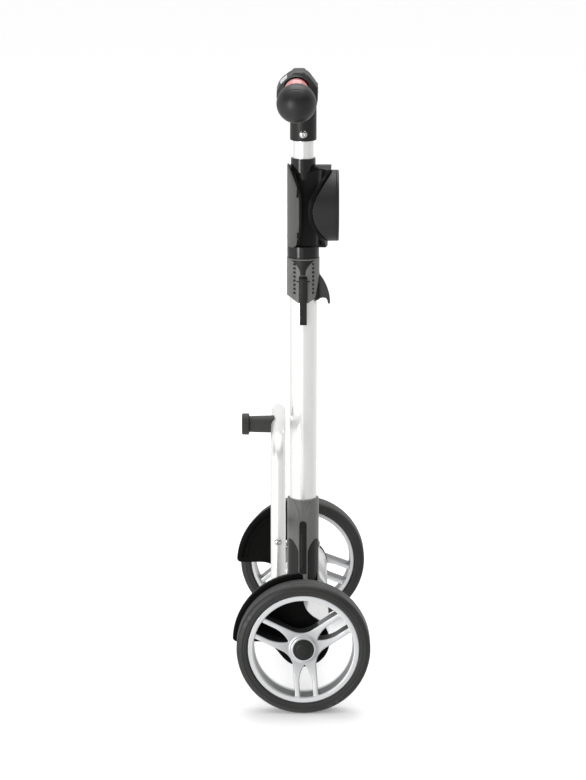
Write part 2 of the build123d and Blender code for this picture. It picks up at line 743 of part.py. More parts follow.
neck_axis = Axis((neck_x, -hub_half, neck_z), neck_dir)
neck_profile = Plane(origin=(neck_x, -hub_half, neck_z), x_dir=neck_dir, z_dir=(1, 0, 0))
with BuildPart() as ring_left:
    with BuildSketch(neck_profile):
        with BuildLine():
            Polyline((flat_s, 6.0), (-9.0, 6.0), (-9.0, 17.0), (2.0, 17.0))
            Spline((2.0, 17.0), (8.0, 15.9), (flat_s, 15.4))
            Line((flat_s, 15.4), (flat_s, 6.0))
        make_face()
    revolve(axis=neck_axis)
ring_right = mirrored(ring_left)
save(ring_left, "ring_left")
save(ring_right, "ring_right")

# soft ball at the end of each neck
with BuildPart() as grip_left:
    with BuildSketch(neck_profile):
        with BuildLine():
            half = degrees(acos((ball_s - flat_s) / ball_r))
            CenterArc((ball_s, 0), ball_r, 0.0, 180.0 - half)
            Polyline((flat_s, ball_r * sin(radians(half))), (flat_s, 6.0), (42.0, 6.0), (42.0, 0.0),
                     (ball_s + ball_r, 0.0))
        make_face()
    revolve(axis=neck_axis)
grip_right = mirrored(grip_left)
save(grip_left, "grip_left")
save(grip_right, "grip_right")

# ---------------- folding platform ----------------
with BuildPart() as platform_hoop:
    with BuildLine() as hoop_path:
        FilletPolyline((hoop_x, -hoop_y, 84.0), (hoop_x, -hoop_y, hoop_z),
                       (hoop_x, hoop_y, hoop_z), (hoop_x, hoop_y, 84.0), radius=hoop_bend)
    with BuildSketch(Plane(origin=(hoop_x, -hoop_y, 84.0), x_dir=(1, 0, 0), z_dir=(0, 0, 1))):
        Circle(hoop_r)
        Circle(hoop_r - hoop_wall, mode=Mode.SUBTRACT)
    sweep(path=hoop_path.wires()[0])
    # coped where the legs are welded to the pivot sleeves
    with BuildSketch(across(-130.0)):
        Circle(sleeve_r)
    extrude(amount=-260.0, mode=Mode.SUBTRACT)
    # bolt holes for the cross bar
    with BuildSketch(across(-130.0, hoop_x, cross_z)):
        Circle(3.0)
    extrude(amount=-260.0, mode=Mode.SUBTRACT)
save(platform_hoop, "platform_hoop")

with BuildPart() as pivot_sleeve_left:
    with BuildSketch(across(-sleeve_in)):
        Circle(sleeve_r)
        Circle(sleeve_r - sleeve_wall, mode=Mode.SUBTRACT)
    extrude(amount=sleeve_out - sleeve_in)
pivot_sleeve_right = mirrored(pivot_sleeve_left)
save(pivot_sleeve_left, "pivot_sleeve_left")
save(pivot_sleeve_right, "pivot_sleeve_right")

with BuildPart() as sleeve_bushes:
    for y in (sleeve_in + 0.5, sleeve_out - 10.5, -sleeve_in - 10.5, -sleeve_out + 0.5):
        with BuildSketch(across(y)):
            Circle(sleeve_r - sleeve_wall)
            Circle(beam_r + bush_fit, mode=Mode.SUBTRACT)
        extrude(amount=-10.0)
save(sleeve_bushes, "sleeve_bushes")

with BuildPart() as cross_bar:
    with BuildSketch(across(-hoop_y + hoop_r + 0.4, hoop_x, cross_z)):
        Circle(6.0)
    extrude(amount=-2 * (hoop_y - hoop_r - 0.4))
    with BuildSketch(across(-hoop_y + hoop_r + 0.4, hoop_x, cross_z)):
        Circle(3.0)
    extrude(amount=-20.0, mode=Mode.SUBTRACT)
    with BuildSketch(across(hoop_y - hoop_r - 0.4, hoop_x, cross_z)):
        Circle(3.0)
    extrude(amount=20.0, mode=Mode.SUBTRACT)
save(cross_bar, "cross_bar")

with BuildPart() as hoop_bolts:
    for s in (-1, 1):
        with BuildSketch(across(s * 78.0, hoop_x, cross_z)):
            Circle(3.0)
        extrude(amount=-(hoop_y + hoop_r + 0.3 - 78.0) * s)
        with BuildSketch(across(s * (hoop_y + hoop_r + 0.3), hoop_x, cross_z)):
            Circle(5.25)
        extrude(amount=-2.8 * s)
save(hoop_bolts, "hoop_bolts")

with BuildPart() as foot_body:
    with BuildSketch(across(-13.0, hoop_x, hoop_z)):
        Circle(13.0)
    extrude(amount=-26.0)
    with BuildSketch(along_x(hoop_x, 0, hoop_z)):
        Circle(12.25)
    with BuildSketch(along_x(-74.4, 0, hoop_z)):
        Circle(11.25)
    loft()
    with BuildSketch(across(-20.0, hoop_x, hoop_z)):
        Circle(hoop_r)
    extrude(amount=-40.0, mode=Mode.SUBTRACT)
save(foot_body, "foot_body")

with BuildPart() as foot_pad:
    with BuildSketch(along_x(-74.4, 0, hoop_z)):
        Circle(14.85)
    extrude(amount=foot_tip + 74.4)
    fillet(foot_pad.edges().filter_by(GeomType.CIRCLE), 1.0)
save(foot_pad, "foot_pad")
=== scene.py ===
import math
import bpy
import numpy as np
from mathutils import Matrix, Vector


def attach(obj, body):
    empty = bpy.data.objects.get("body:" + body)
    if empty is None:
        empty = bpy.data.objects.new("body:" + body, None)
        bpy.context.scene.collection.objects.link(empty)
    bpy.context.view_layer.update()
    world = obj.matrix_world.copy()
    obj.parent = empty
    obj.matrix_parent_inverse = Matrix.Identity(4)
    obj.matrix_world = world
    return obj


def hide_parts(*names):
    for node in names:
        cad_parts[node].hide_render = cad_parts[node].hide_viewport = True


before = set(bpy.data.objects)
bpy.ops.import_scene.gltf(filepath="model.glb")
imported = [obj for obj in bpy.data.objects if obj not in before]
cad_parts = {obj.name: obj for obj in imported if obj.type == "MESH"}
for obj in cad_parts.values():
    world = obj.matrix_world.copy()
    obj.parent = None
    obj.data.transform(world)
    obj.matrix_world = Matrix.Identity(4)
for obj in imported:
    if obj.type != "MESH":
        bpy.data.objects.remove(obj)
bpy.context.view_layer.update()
MM = 0.001
FINE = 1.0

# ----------------------------------------------------------------------------
# signed distances, in millimetres; P is an (n, 3) array
# ----------------------------------------------------------------------------


def smin(a, b, k):
    h = np.clip(0.5 + 0.5 * (b - a) / k, 0.0, 1.0)
    return b * (1 - h) + a * h - k * h * (1 - h)


def smax(a, b, k):
    return -smin(-a, -b, k)


def rounded2(d, h, r):
    """Joins two distances as an outer corner rounded by r."""
    d = d + r
    h = h + r
    return np.minimum(np.maximum(d, h), 0.0) + np.hypot(np.maximum(d, 0.0), np.maximum(h, 0.0)) - r


def slab(v, lo, hi):
    return np.abs(v - (lo + hi) / 2) - (hi - lo) / 2


def cyl(P, axis, c, R, lo, hi, r=0.0):
    i, j = [k for k in range(3) if k != axis]
    return rounded2(np.hypot(P[:, i] - c[0], P[:, j] - c[1]) - R, slab(P[:, axis], lo, hi), r)


def ring(P, axis, c, R0, R1, lo, hi, r=0.0):
    i, j = [k for k in range(3) if k != axis]
    rho = np.hypot(P[:, i] - c[0], P[:, j] - c[1])
    return rounded2(slab(rho, R0, R1), slab(P[:, axis], lo, hi), r)


def block(P, lo, hi, r=0.0):
    q = [slab(P[:, k], lo[k], hi[k]) + r for k in range(3)]
    out = np.sqrt(sum(np.maximum(v, 0.0) ** 2 for v in q))
    return out + np.minimum(np.maximum(np.maximum(q[0], q[1]), q[2]), 0.0) - r


def polygon(x, y, pts):
    """Signed distance to a closed polygon."""
    d = np.full(x.shape, 1e18)
    s = np.ones(x.shape)
    n = len(pts)
    for i in range(n):
        ax, ay = pts[i]
        bx, by = pts[i - 1]
        ex, ey = bx - ax, by - ay
        wx, wy = x - ax, y - ay
        t = np.clip((wx * ex + wy * ey) / (ex * ex + ey * ey), 0.0, 1.0)
        d = np.minimum(d, (wx - ex * t) ** 2 + (wy - ey * t) ** 2)
        c1, c2, c3 = y >= ay, y < by, ex * wy > ey * wx
        flip = (c1 & c2 & c3) | (~c1 & ~c2 & ~c3)
        s = np.where(flip, -s, s)
    return s * np.sqrt(d)


CORNERS = np.array([[i, j, k] for i in (0, 1) for j in (0, 1) for k in (0, 1)])
EDGES = [(a, b) for a in range(8) for b in range(a + 1, 8) if np.abs(CORNERS[a] - CORNERS[b]).sum() == 1]


def skin(f, lo, hi, step):
    """Closed quad mesh of the surface f = 0, each point then moved onto the surface."""
    step = step * FINE
    lo = np.array(lo, float) - 2.3 * step
    hi = np.array(hi, float) + 2.3 * step
    n = np.ceil((hi - lo) / step).astype(int) + 1
    ax = [lo[i] + step * np.arange(n[i]) for i in range(3)]
    V = np.empty(n, np.float32)
    slab_n = max(1, int(400000 / (n[1] * n[2])))
    for s in range(0, n[0], slab_n):
        X, Y, Z = np.meshgrid(ax[0][s:s + slab_n], ax[1], ax[2], indexing="ij")
        V[s:s + slab_n] = f(np.stack([X.ravel(), Y.ravel(), Z.ravel()], 1)).reshape(X.shape)
    V[V == 0] = 1e-6
    S = V < 0
    m = n - 1
    count = np.zeros(m, np.int8)
    for c in CORNERS:
        count += S[c[0]:c[0] + m[0], c[1]:c[1] + m[1], c[2]:c[2] + m[2]]
    active = (count > 0) & (count < 8)
    idx = np.argwhere(active)
    ids = -np.ones(m, np.int64)
    ids[active] = np.arange(len(idx))
    total = np.zeros((len(idx), 3))
    hits = np.zeros(len(idx))
    vals = [V[tuple((idx + c).T)].astype(float) for c in CORNERS]
    for a, b in EDGES:
        va, vb = vals[a], vals[b]
        cross = (va < 0) != (vb < 0)
        t = np.where(cross, va / np.where(cross, va - vb, 1.0), 0.0)
        p = CORNERS[a] + t[:, None] * (CORNERS[b] - CORNERS[a])
        total += p * cross[:, None]
        hits += cross
    verts = lo + step * (idx + total / hits[:, None])
    eps = 0.02
    for _ in range(3):
        d = f(verts)
        g = np.stack([(f(verts + np.eye(3)[k] * eps) - f(verts - np.eye(3)[k] * eps)) / (2 * eps) for k in range(3)], 1)
        gg = np.maximum((g * g).sum(1), 0.25)
        move = -(d / gg)[:, None] * g
        size = np.linalg.norm(move, axis=1)
        move *= np.minimum(1.0, 0.35 * step / np.maximum(size, 1e-9))[:, None]
        verts = verts + move
    quads = []
    for axis in range(3):
        o = [k for k in range(3) if k != axis]
        A = S.take(range(n[axis] - 1), axis)
        B = S.take(range(1, n[axis]), axis)
        e = np.argwhere(A != B)
        e = e[(e[:, o[0]] > 0) & (e[:, o[1]] > 0) & (e[:, o[0]] < m[o[0]]) & (e[:, o[1]] < m[o[1]])]
        inside = A[tuple(e.T)]
        c = []
        for d0, d1 in ((-1, -1), (0, -1), (0, 0), (-1, 0)):
            q = e.copy()
            q[:, o[0]] += d0
            q[:, o[1]] += d1
            c.append(ids[tuple(q.T)])
        q = np.stack(c, 1)
        forward = inside if axis != 1 else ~inside
        q[~forward] = q[~forward][:, ::-1]
        quads.append(q)
    return verts, np.concatenate(quads)


# ----------------------------------------------------------------------------
# turned and swept meshes, in millimetres
# ----------------------------------------------------------------------------


def soften(pts, radii, closed, steps=5):
    """Polyline with each corner i rounded by radii[i] (or one radius for all)."""
    n = len(pts)
    if not isinstance(radii, (list, tuple)):
        radii = [radii] * n
    out = []
    for i in range(n):
        p = np.array(pts[i], float)
        r = radii[i]
        if r <= 0 or (not closed and i in (0, n - 1)):
            out.append(tuple(p))
            continue
        a = np.array(pts[i - 1], float) - p
        b = np.array(pts[(i + 1) % n], float) - p
        la, lb = np.linalg.norm(a), np.linalg.norm(b)
        a /= la
        b /= lb
        if np.linalg.norm(a + b) < 1e-3:
            out.append(tuple(p))
            continue
        cosang = np.clip(np.dot(a, b), -0.9999, 0.9999)
        half = math.acos(cosang) / 2
        t = min(r / math.tan(half), 0.45 * la, 0.45 * lb)
        r = t * math.tan(half)
        c = p + (a + b) / np.linalg.norm(a + b) * (r / math.sin(half))
        p0, p1 = p + a * t - c, p + b * t - c
        turn = math.acos(np.clip(np.dot(p0, p1) / (r * r), -1, 1))
        for s in range(steps + 1):
            w = s / steps
            v = (math.sin((1 - w) * turn) * p0 + math.sin(w * turn) * p1) / max(math.sin(turn), 1e-9)
            out.append(tuple(c + v))
    return out


def lathe(profile, axis, centre, closed, segs=128):
    """Turns (radius, along) points about an axis. closed profiles make a ring, open ones start and end on the axis."""
    segs = int(segs / FINE)
    i, j = [k for k in range(3) if k != axis]
    prof = [tuple(p) for p in profile]
    keep = [prof[0]]
    for p in prof[1:]:
        if math.hypot(p[0] - keep[-1][0], p[1] - keep[-1][1]) > 1e-4:
            keep.append(p)
    if closed and math.hypot(keep[0][0] - keep[-1][0], keep[0][1] - keep[-1][1]) < 1e-4:
        keep.pop()
    verts, rows = [], []
    for r, a in keep:
        if r < 1e-5:
            p = [0, 0, 0]
            p[axis], p[i], p[j] = a, centre[0], centre[1]
            rows.append([len(verts)])
            verts.append(p)
            continue
        row = []
        for s in range(segs):
            t = 2 * math.pi * s / segs
            p = [0, 0, 0]
            p[axis], p[i], p[j] = a, centre[0] + r * math.cos(t), centre[1] + r * math.sin(t)
            row.append(len(verts))
            verts.append(p)
        rows.append(row)
    faces = []
    n = len(rows)
    for k in range(n if closed else n - 1):
        A, B = rows[k], rows[(k + 1) % n]
        for s in range(segs):
            s2 = (s + 1) % segs
            if len(A) == 1 and len(B) == 1:
                continue
            if len(A) == 1:
                faces.append((A[0], B[s], B[s2]))
            elif len(B) == 1:
                faces.append((A[s], B[0], A[s2]))
            else:
                faces.append((A[s], B[s], B[s2], A[s2]))
    return np.array(verts, float), faces


def sweep(path, radius, segs=40, dome=2.0):
    """Solid round bar along a path of points, with softly domed ends."""
    P = [np.array(p, float) for p in path]
    T = []
    for k in range(len(P)):
        a = P[min(k + 1, len(P) - 1)] - P[max(k - 1, 0)]
        T.append(a / np.linalg.norm(a))
    u = np.array([1.0, 0, 0]) if abs(T[0][0]) < 0.9 else np.array([0, 1.0, 0])
    u = u - T[0] * np.dot(u, T[0])
    u /= np.linalg.norm(u)
    rings = []
    ends = [(radius * 0.0 + 1e-3, dome), (radius * 0.45, dome * 0.9), (radius * 0.8, dome * 0.55), (radius * 0.97, dome * 0.12)]
    for r, h in ends:
        rings.append((P[0] - T[0] * h, T[0], r))
    for k in range(len(P)):
        rings.append((P[k], T[k], radius))
    for r, h in reversed(ends):
        rings.append((P[-1] + T[-1] * h, T[-1], r))
    verts, faces = [], []
    for c, t, r in rings:
        u = u - t * np.dot(u, t)
        u /= np.linalg.norm(u)
        v = np.cross(t, u)
        for s in range(segs):
            a = 2 * math.pi * s / segs
            verts.append(c + r * (math.cos(a) * u + math.sin(a) * v))
    for k in range(len(rings) - 1):
        for s in range(segs):
            s2 = (s + 1) % segs
            faces.append((k * segs + s, k * segs + s2, (k + 1) * segs + s2, (k + 1) * segs + s))
    faces.append(tuple(range(segs))[::-1])
    last = (len(rings) - 1) * segs
    faces.append(tuple(range(last, last + segs)))
    return np.array(verts), faces


def build(name, data, mat, body, nodes=(), crease=None):
    """One visible piece. data is (points in mm, faces), or several of them as a list."""
    if isinstance(data, list):
        pts, fcs, off = [], [], 0
        for v, f in data:
            pts.append(np.asarray(v, float))
            fcs += [tuple(int(i) + off for i in q) for q in f]
            off += len(v)
        V, F = np.concatenate(pts), fcs
    else:
        V, F = data
        F = F.tolist() if hasattr(F, "tolist") else F
    me = bpy.data.meshes.new(name)
    me.from_pydata((np.asarray(V) * MM).tolist(), [], F)
    me.validate()
    import bmesh
    bm = bmesh.new()
    bm.from_mesh(me)
    bmesh.ops.recalc_face_normals(bm, faces=bm.faces)
    bm.to_mesh(me)
    bm.free()
    me.polygons.foreach_set("use_smooth", [True] * len(me.polygons))
    if crease:
        me.set_sharp_from_angle(angle=math.radians(crease))
    me.materials.append(mat)
    ob = bpy.data.objects.new(name, me)
    bpy.context.scene.collection.objects.link(ob)
    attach(ob, body)
    if nodes:
        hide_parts(*nodes)
    return ob


def flip_y(data):
    V, F = data
    V = np.array(V, float)
    V[:, 1] *= -1
    return V, [tuple(reversed(q)) for q in (F.tolist() if hasattr(F, "tolist") else F)]


# ----------------------------------------------------------------------------
# materials
# ----------------------------------------------------------------------------


def paint_recess_shade(m, full, dark, back_dark, back_full, low):
    """Painted shade: darkens a material's base colour between its outer and its inner face, by distance from the middle
    of the axle, standing in for the shade in the rim's recesses.
    """
    nt = m.node_tree
    b = next(n for n in nt.nodes if n.type == "BSDF_PRINCIPLED")
    src = b.inputs["Base Color"].links[0].from_socket
    tc = nt.nodes.new("ShaderNodeTexCoord")
    sp = nt.nodes.new("ShaderNodeSeparateXYZ")
    nt.links.new(tc.outputs["Object"], sp.inputs[0])
    ab = nt.nodes.new("ShaderNodeMath")
    ab.operation = "ABSOLUTE"
    nt.links.new(sp.outputs["Y"], ab.inputs[0])
    outs = []
    for lo, hi in ((dark, full), (back_dark, back_full)):
        r = nt.nodes.new("ShaderNodeMapRange")
        r.inputs["From Min"].default_value = lo
        r.inputs["From Max"].default_value = hi
        r.inputs["To Min"].default_value = low
        nt.links.new(ab.outputs[0], r.inputs["Value"])
        outs.append(r.outputs[0])
    mx = nt.nodes.new("ShaderNodeMath")
    mx.operation = "MAXIMUM"
    nt.links.new(outs[0], mx.inputs[0])
    nt.links.new(outs[1], mx.inputs[1])
    sc = nt.nodes.new("ShaderNodeVectorMath")
    sc.operation = "SCALE"
    nt.links.new(src, sc.inputs[0])
    nt.links.new(mx.outputs[0], sc.inputs["Scale"])
    nt.links.new(sc.outputs["Vector"], b.inputs["Base Color"])


def material(name, color, rough, metallic=0.0, grain=900.0, bump=0.05, rough_var=0.08, color_var=0.15,
             patch=30.0, stretch=(1, 1, 1), coat=0.0, coat_rough=0.1, wear=0.0, wear_color=(0.3, 0.3, 0.3),
             specular=0.5, sheen=0.0, cells=0.0, cell_bump=0.0, ior=1.5):
    m = bpy.data.materials.new(name)
    m.use_nodes = True
    nt = m.node_tree
    nt.nodes.clear()
    N = nt.nodes.new
    out = N("ShaderNodeOutputMaterial")
    b = N("ShaderNodeBsdfPrincipled")
    nt.links.new(b.outputs[0], out.inputs[0])
    b.inputs["Metallic"].default_value = metallic
    b.inputs["Specular IOR Level"].default_value = specular
    b.inputs["IOR"].default_value = ior
    b.inputs["Coat Weight"].default_value = coat
    b.inputs["Coat Roughness"].default_value = coat_rough
    b.inputs["Sheen Weight"].default_value = sheen
    tc = N("ShaderNodeTexCoord")
    mp = N("ShaderNodeMapping")
    mp.inputs["Scale"].default_value = stretch
    nt.links.new(tc.outputs["Object"], mp.inputs["Vector"])
    # fine grain
    n1 = N("ShaderNodeTexNoise")
    n1.inputs["Scale"].default_value = grain
    n1.inputs["Detail"].default_value = 4.0
    n1.inputs["Roughness"].default_value = 0.6
    nt.links.new(mp.outputs[0], n1.inputs["Vector"])
    # broad patches of handling and flow
    n2 = N("ShaderNodeTexNoise")
    n2.inputs["Scale"].default_value = patch
    n2.inputs["Detail"].default_value = 5.0
    nt.links.new(tc.outputs["Object"], n2.inputs["Vector"])
    add = N("ShaderNodeMath")
    add.operation = "MULTIPLY_ADD"
    add.inputs[1].default_value = 0.45
    nt.links.new(n1.outputs[0], add.inputs[0])
    half = N("ShaderNodeMath")
    half.operation = "MULTIPLY"
    half.inputs[1].default_value = 0.55
    nt.links.new(n2.outputs[0], half.inputs[0])
    nt.links.new(half.outputs[0], add.inputs[2])
    rr = N("ShaderNodeMapRange")
    rr.inputs["From Min"].default_value = 0.3
    rr.inputs["From Max"].default_value = 0.7
    rr.inputs["To Min"].default_value = max(0.02, rough - rough_var)
    rr.inputs["To Max"].default_value = min(1.0, rough + rough_var)
    nt.links.new(add.outputs[0], rr.inputs["Value"])
    nt.links.new(rr.outputs[0], b.inputs["Roughness"])
    ramp = N("ShaderNodeValToRGB")
    lo = [c * (1 - color_var) for c in color]
    hi = [min(1.0, c * (1 + color_var)) for c in color]
    ramp.color_ramp.elements[0].position = 0.32
    ramp.color_ramp.elements[0].color = (*lo, 1)
    ramp.color_ramp.elements[1].position = 0.68
    ramp.color_ramp.elements[1].color = (*hi, 1)
    nt.links.new(add.outputs[0], ramp.inputs[0])
    col = ramp.outputs[0]
    if wear > 0:
        geo = N("ShaderNodeNewGeometry")
        wr = N("ShaderNodeMapRange")
        wr.inputs["From Min"].default_value = 0.53
        wr.inputs["From Max"].default_value = 0.62
        wr.inputs["To Max"].default_value = wear
        nt.links.new(geo.outputs["Pointiness"], wr.inputs["Value"])
        brk = N("ShaderNodeMath")
        brk.operation = "MULTIPLY"
        nt.links.new(wr.outputs[0], brk.inputs[0])
        nt.links.new(n2.outputs[0], brk.inputs[1])
        mix = N("ShaderNodeMix")
        mix.data_type = "RGBA"
        nt.links.new(brk.outputs[0], mix.inputs["Factor"])
        nt.links.new(col, mix.inputs["A"])
        mix.inputs["B"].default_value = (*wear_color, 1)
        col = mix.outputs["Result"]
    nt.links.new(col, b.inputs["Base Color"])
    bp = N("ShaderNodeBump")
    bp.inputs["Strength"].default_value = bump
    bp.inputs["Distance"].default_value = 0.0004
    nt.links.new(n1.outputs[0], bp.inputs["Height"])
    last = bp
    if cells > 0:
        vo = N("ShaderNodeTexVoronoi")
        vo.inputs["Scale"].default_value = cells
        nt.links.new(tc.outputs["Object"], vo.inputs["Vector"])
        b2 = N("ShaderNodeBump")
        b2.inputs["Strength"].default_value = cell_bump
        b2.inputs["Distance"].default_value = 0.0003
        nt.links.new(vo.outputs["Distance"], b2.inputs["Height"])
        nt.links.new(bp.outputs[0], b2.inputs["Normal"])
        last = b2
    nt.links.new(last.outputs[0], b.inputs["Normal"])
    return m


M_tyre = material("tyre_rubber", (0.023, 0.023, 0.022), 0.44, grain=1500, bump=0.16, rough_var=0.10, color_var=0.25,
                  patch=22, wear=0.45, wear_color=(0.14, 0.14, 0.135), specular=0.38)
M_rim = material("silver_paint", (0.72, 0.73, 0.74), 0.33, metallic=0.75, grain=3200, bump=0.03, rough_var=0.05,
                 color_var=0.03, patch=14, coat=0.25, coat_rough=0.15)
# painted shade: the barrel's inner wall and the spokes' side walls, between the front and back faces, are darkened to
# 0.16 of their colour
paint_recess_shade(M_rim, 0.2330, 0.2300, 0.2125, 0.2105, 0.16)
M_guard = material("mudguard_plastic", (0.0050, 0.0050, 0.0047), 0.40, grain=1800, bump=0.12, rough_var=0.09,
                   color_var=0.25, patch=20, wear=0.10, wear_color=(0.02, 0.02, 0.02), specular=0.04, cells=1700,
                   cell_bump=0.10)
M_saddle = material("saddle_plastic", (0.0035, 0.0035, 0.0032), 0.33, grain=1200, bump=0.03, rough_var=0.06,
                    color_var=0.2, patch=18, specular=0.15, wear=0.15, wear_color=(0.06, 0.06, 0.06), cells=1600,
                    cell_bump=0.03)
M_dark = material("charcoal_plastic", (0.010, 0.010, 0.0095), 0.40, grain=1800, bump=0.12, rough_var=0.09,
                  color_var=0.2, patch=26, wear=0.25, wear_color=(0.07, 0.07, 0.068), specular=0.32, cells=1900,
                  cell_bump=0.10)
M_grey = material("grey_shell_plastic", (0.140, 0.140, 0.134), 0.34, grain=1500, bump=0.08, rough_var=0.08,
                  color_var=0.10, patch=24, wear=0.35, wear_color=(0.24, 0.24, 0.23), specular=0.42, cells=2000,
                  cell_bump=0.06)
M_gloss = material("gloss_black_plastic", (0.004, 0.004, 0.0037), 0.17, grain=900, bump=0.015, rough_var=0.05,
                   color_var=0.2, patch=18, specular=0.34, coat=0.12, coat_rough=0.08)
M_hub = material("grained_hub_plastic", (0.036, 0.036, 0.035), 0.52, grain=1600, bump=0.18, rough_var=0.10,
                 color_var=0.2, patch=30, wear=0.3, wear_color=(0.10, 0.10, 0.10), specular=0.32, cells=1700,
                 cell_bump=0.16)
M_shield = material("satin_shield_plastic", (0.098, 0.098, 0.093), 0.42, grain=1300, bump=0.07, rough_var=0.07,
                    color_var=0.10, patch=22, wear=0.4, wear_color=(0.34, 0.34, 0.33), specular=0.16, cells=1900,
                    cell_bump=0.05)
M_drum = material("drum_plastic", (0.014, 0.014, 0.0135), 0.45, grain=1500, bump=0.12, rough_var=0.08,
                  color_var=0.18, patch=20, wear=0.3, wear_color=(0.07, 0.07, 0.07), specular=0.34, cells=1800,
                  cell_bump=0.10)
M_rubber = material("soft_rubber", (0.013, 0.013, 0.0125), 0.40, grain=1500, bump=0.14, rough_var=0.08,
                    color_var=0.18, patch=20, specular=0.40, cells=1500, cell_bump=0.10)
M_foot = material("foot_rubber", (0.030, 0.030, 0.028), 0.50, grain=1500, bump=0.2, rough_var=0.1, color_var=0.2,
                  patch=22, specular=0.32, wear=0.3, wear_color=(0.10, 0.10, 0.10), cells=1400, cell_bump=0.14)
M_alu = material("anodised_tube", (0.89, 0.895, 0.88), 0.20, metallic=0.54, grain=2600, bump=0.008, rough_var=0.03,
                 color_var=0.015, patch=7, stretch=(1.0, 1.0, 0.03), specular=0.6)
M_alu_y = material("anodised_cross_tube", (0.84, 0.845, 0.84), 0.22, metallic=0.66, grain=2600, bump=0.008,
                   rough_var=0.03, color_var=0.015, patch=7, stretch=(1.0, 0.03, 1.0), specular=0.6)
M_hoop = material("anodised_hoop", (0.88, 0.885, 0.87), 0.24, metallic=0.50, grain=3000, bump=0.008, rough_var=0.03,
                  color_var=0.015, patch=9, specular=0.6)
M_steel = material("plated_steel", (0.60, 0.60, 0.58), 0.22, metallic=1.0, grain=2400, bump=0.03, rough_var=0.07,
                   color_var=0.06, patch=60)
M_red = material("red_neck_plastic", (0.70, 0.27, 0.265), 0.28, grain=1800, bump=0.03, rough_var=0.05,
                 color_var=0.08, patch=30, coat=0.5, coat_rough=0.10)
M_insert = material("pale_insert", (0.52, 0.53, 0.56), 0.30, grain=1600, bump=0.03, rough_var=0.05,
                    color_var=0.05, patch=40, coat=0.3)
M_bush = material("acetal", (0.62, 0.62, 0.58), 0.4, grain=1800, bump=0.06, rough_var=0.07, color_var=0.06, patch=60)

CARRIED = {
    "wheel_bushes_left": M_bush, "wheel_bushes_right": M_bush, "axle_beam": M_steel, "stub_axle_left": M_steel,
    "stub_axle_right": M_steel, "axle_clips": M_steel, "guard_screws_left": M_steel, "guard_screws_right": M_steel,
    "socket_screws": M_steel, "tab_pins": M_dark, "tab_springs": M_steel, "clamp_spindle": M_steel,
    "clamp_nut": M_steel, "brake_shoe": M_bush, "tube_end_bush": M_bush, "grip_stud_left": M_steel, "grip_stud_right": M_steel,
    "sleeve_bushes": M_bush,
}
for node, mat in CARRIED.items():
    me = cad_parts[node].data
    me.materials.clear()
    me.materials.append(mat)

AX = (0.0, 90.0)       # wheel axis: X, Z

# ----------------------------------------------------------------------------
# wheels
# ----------------------------------------------------------------------------
half = [(75.1, 232.0), (72.6, 232.0), (72.6, 208.0), (75.1, 208.0), (75.1, 203.8), (76.6, 202.3), (80.4, 202.0),
        (80.9, 202.5), (81.5, 202.5), (82.0, 202.0), (83.5, 202.0), (87.6, 203.6), (89.6, 206.2), (90.0, 209.5),
        (89.95, 213.0), (89.55, 213.25), (89.55, 213.75), (89.95, 214.0), (90.0, 219.75), (90.18, 220.0), (90.0, 220.25),
        (89.95, 226.0), (89.55, 226.25), (89.55, 226.75), (89.95, 227.0), (90.0, 230.5), (89.6, 233.8), (87.6, 236.4),
        (83.5, 238.0), (82.0, 238.0), (81.5, 237.5), (80.9, 237.5), (80.4, 238.0), (76.6, 237.7), (75.1, 236.2)]
prof = soften([(min(r, 90.0), -a) for r, a in half], 0.6, True, 3)
tyre = lathe(prof, 1, AX, True, 192)
build("near_tyre", tyre, M_tyre, "wheel_left", ["tyre_left"])
build("far_tyre", flip_y(tyre), M_tyre, "wheel_right", ["tyre_right"])


def rim_field(phase, taper):
    """Rim of the wheel at -Y: barrel, front ring, three double spokes and hub."""
    def f(P):
        x, z = P[:, 0], P[:, 2] - 90.0
        y = -P[:, 1]
        rho = np.hypot(x, z)
        a = np.arctan2(z, x) - math.radians(phase)
        third = math.radians(120.0)
        a = np.abs((a + third / 2) % third - third / 2)
        u, v = rho * np.cos(a), rho * np.sin(a)
        w2 = rho * np.sin(third - a)
        arms = smin(v - 15.6, w2 - 15.6, 15.0)
        t = np.clip((u - 23.0) / 27.0, 0.0, 1.0)
        win = np.maximum((v - 8.9 * np.sin(math.pi / 2 * t ** 0.8)) * 0.85, 23.0 - u)
        flat = np.maximum(np.maximum(arms, -win), rho - 69.5)
        # the spokes' faces fall slightly towards the hub
        face = 233.6 - 1.8 * np.clip((60.0 - rho) / 45.0, 0, 1)
        web = rounded2(flat, np.abs(y - (210.0 + face) / 2) - (face - 210.0) / 2, 1.3)
        inner = 67.8 + taper * (235.0 - y) / 30.0
        wall = rounded2(np.abs(rho - (inner + 72.5) / 2) - (72.5 - inner) / 2, slab(y, 205.0, 235.0), 0.5)
        front = rounded2(slab(rho, 67.8, 75.05), slab(y, 231.8, 235.0), 0.9)
        back = rounded2(slab(rho, 70.0, 75.05), slab(y, 205.0, 208.0), 0.8)
        hub = rounded2(rho - 17.0, slab(y, 204.0, 235.4), 1.0)
        d = smin(web, np.minimum(np.minimum(wall, front), back), 1.6)
        d = smin(d, hub, 4.0)
        d = smax(d, 9.0 - rho, 0.3)
        return smax(d, -rounded2(rho - 12.0, slab(y, 226.0, 240.0), 0.2), 0.3)
    return f


near_rim = skin(rim_field(-86.2, -1.9), (-76, -236, 14), (76, -203, 166), 0.85)
build("near_rim", near_rim, M_rim, "wheel_left", ["rim_left"])
far_rim = skin(rim_field(-20.6, 1.6), (-76, -236, 14), (76, -203, 166), 0.85)
build("far_rim", flip_y(far_rim), M_rim, "wheel_right", ["rim_right"])

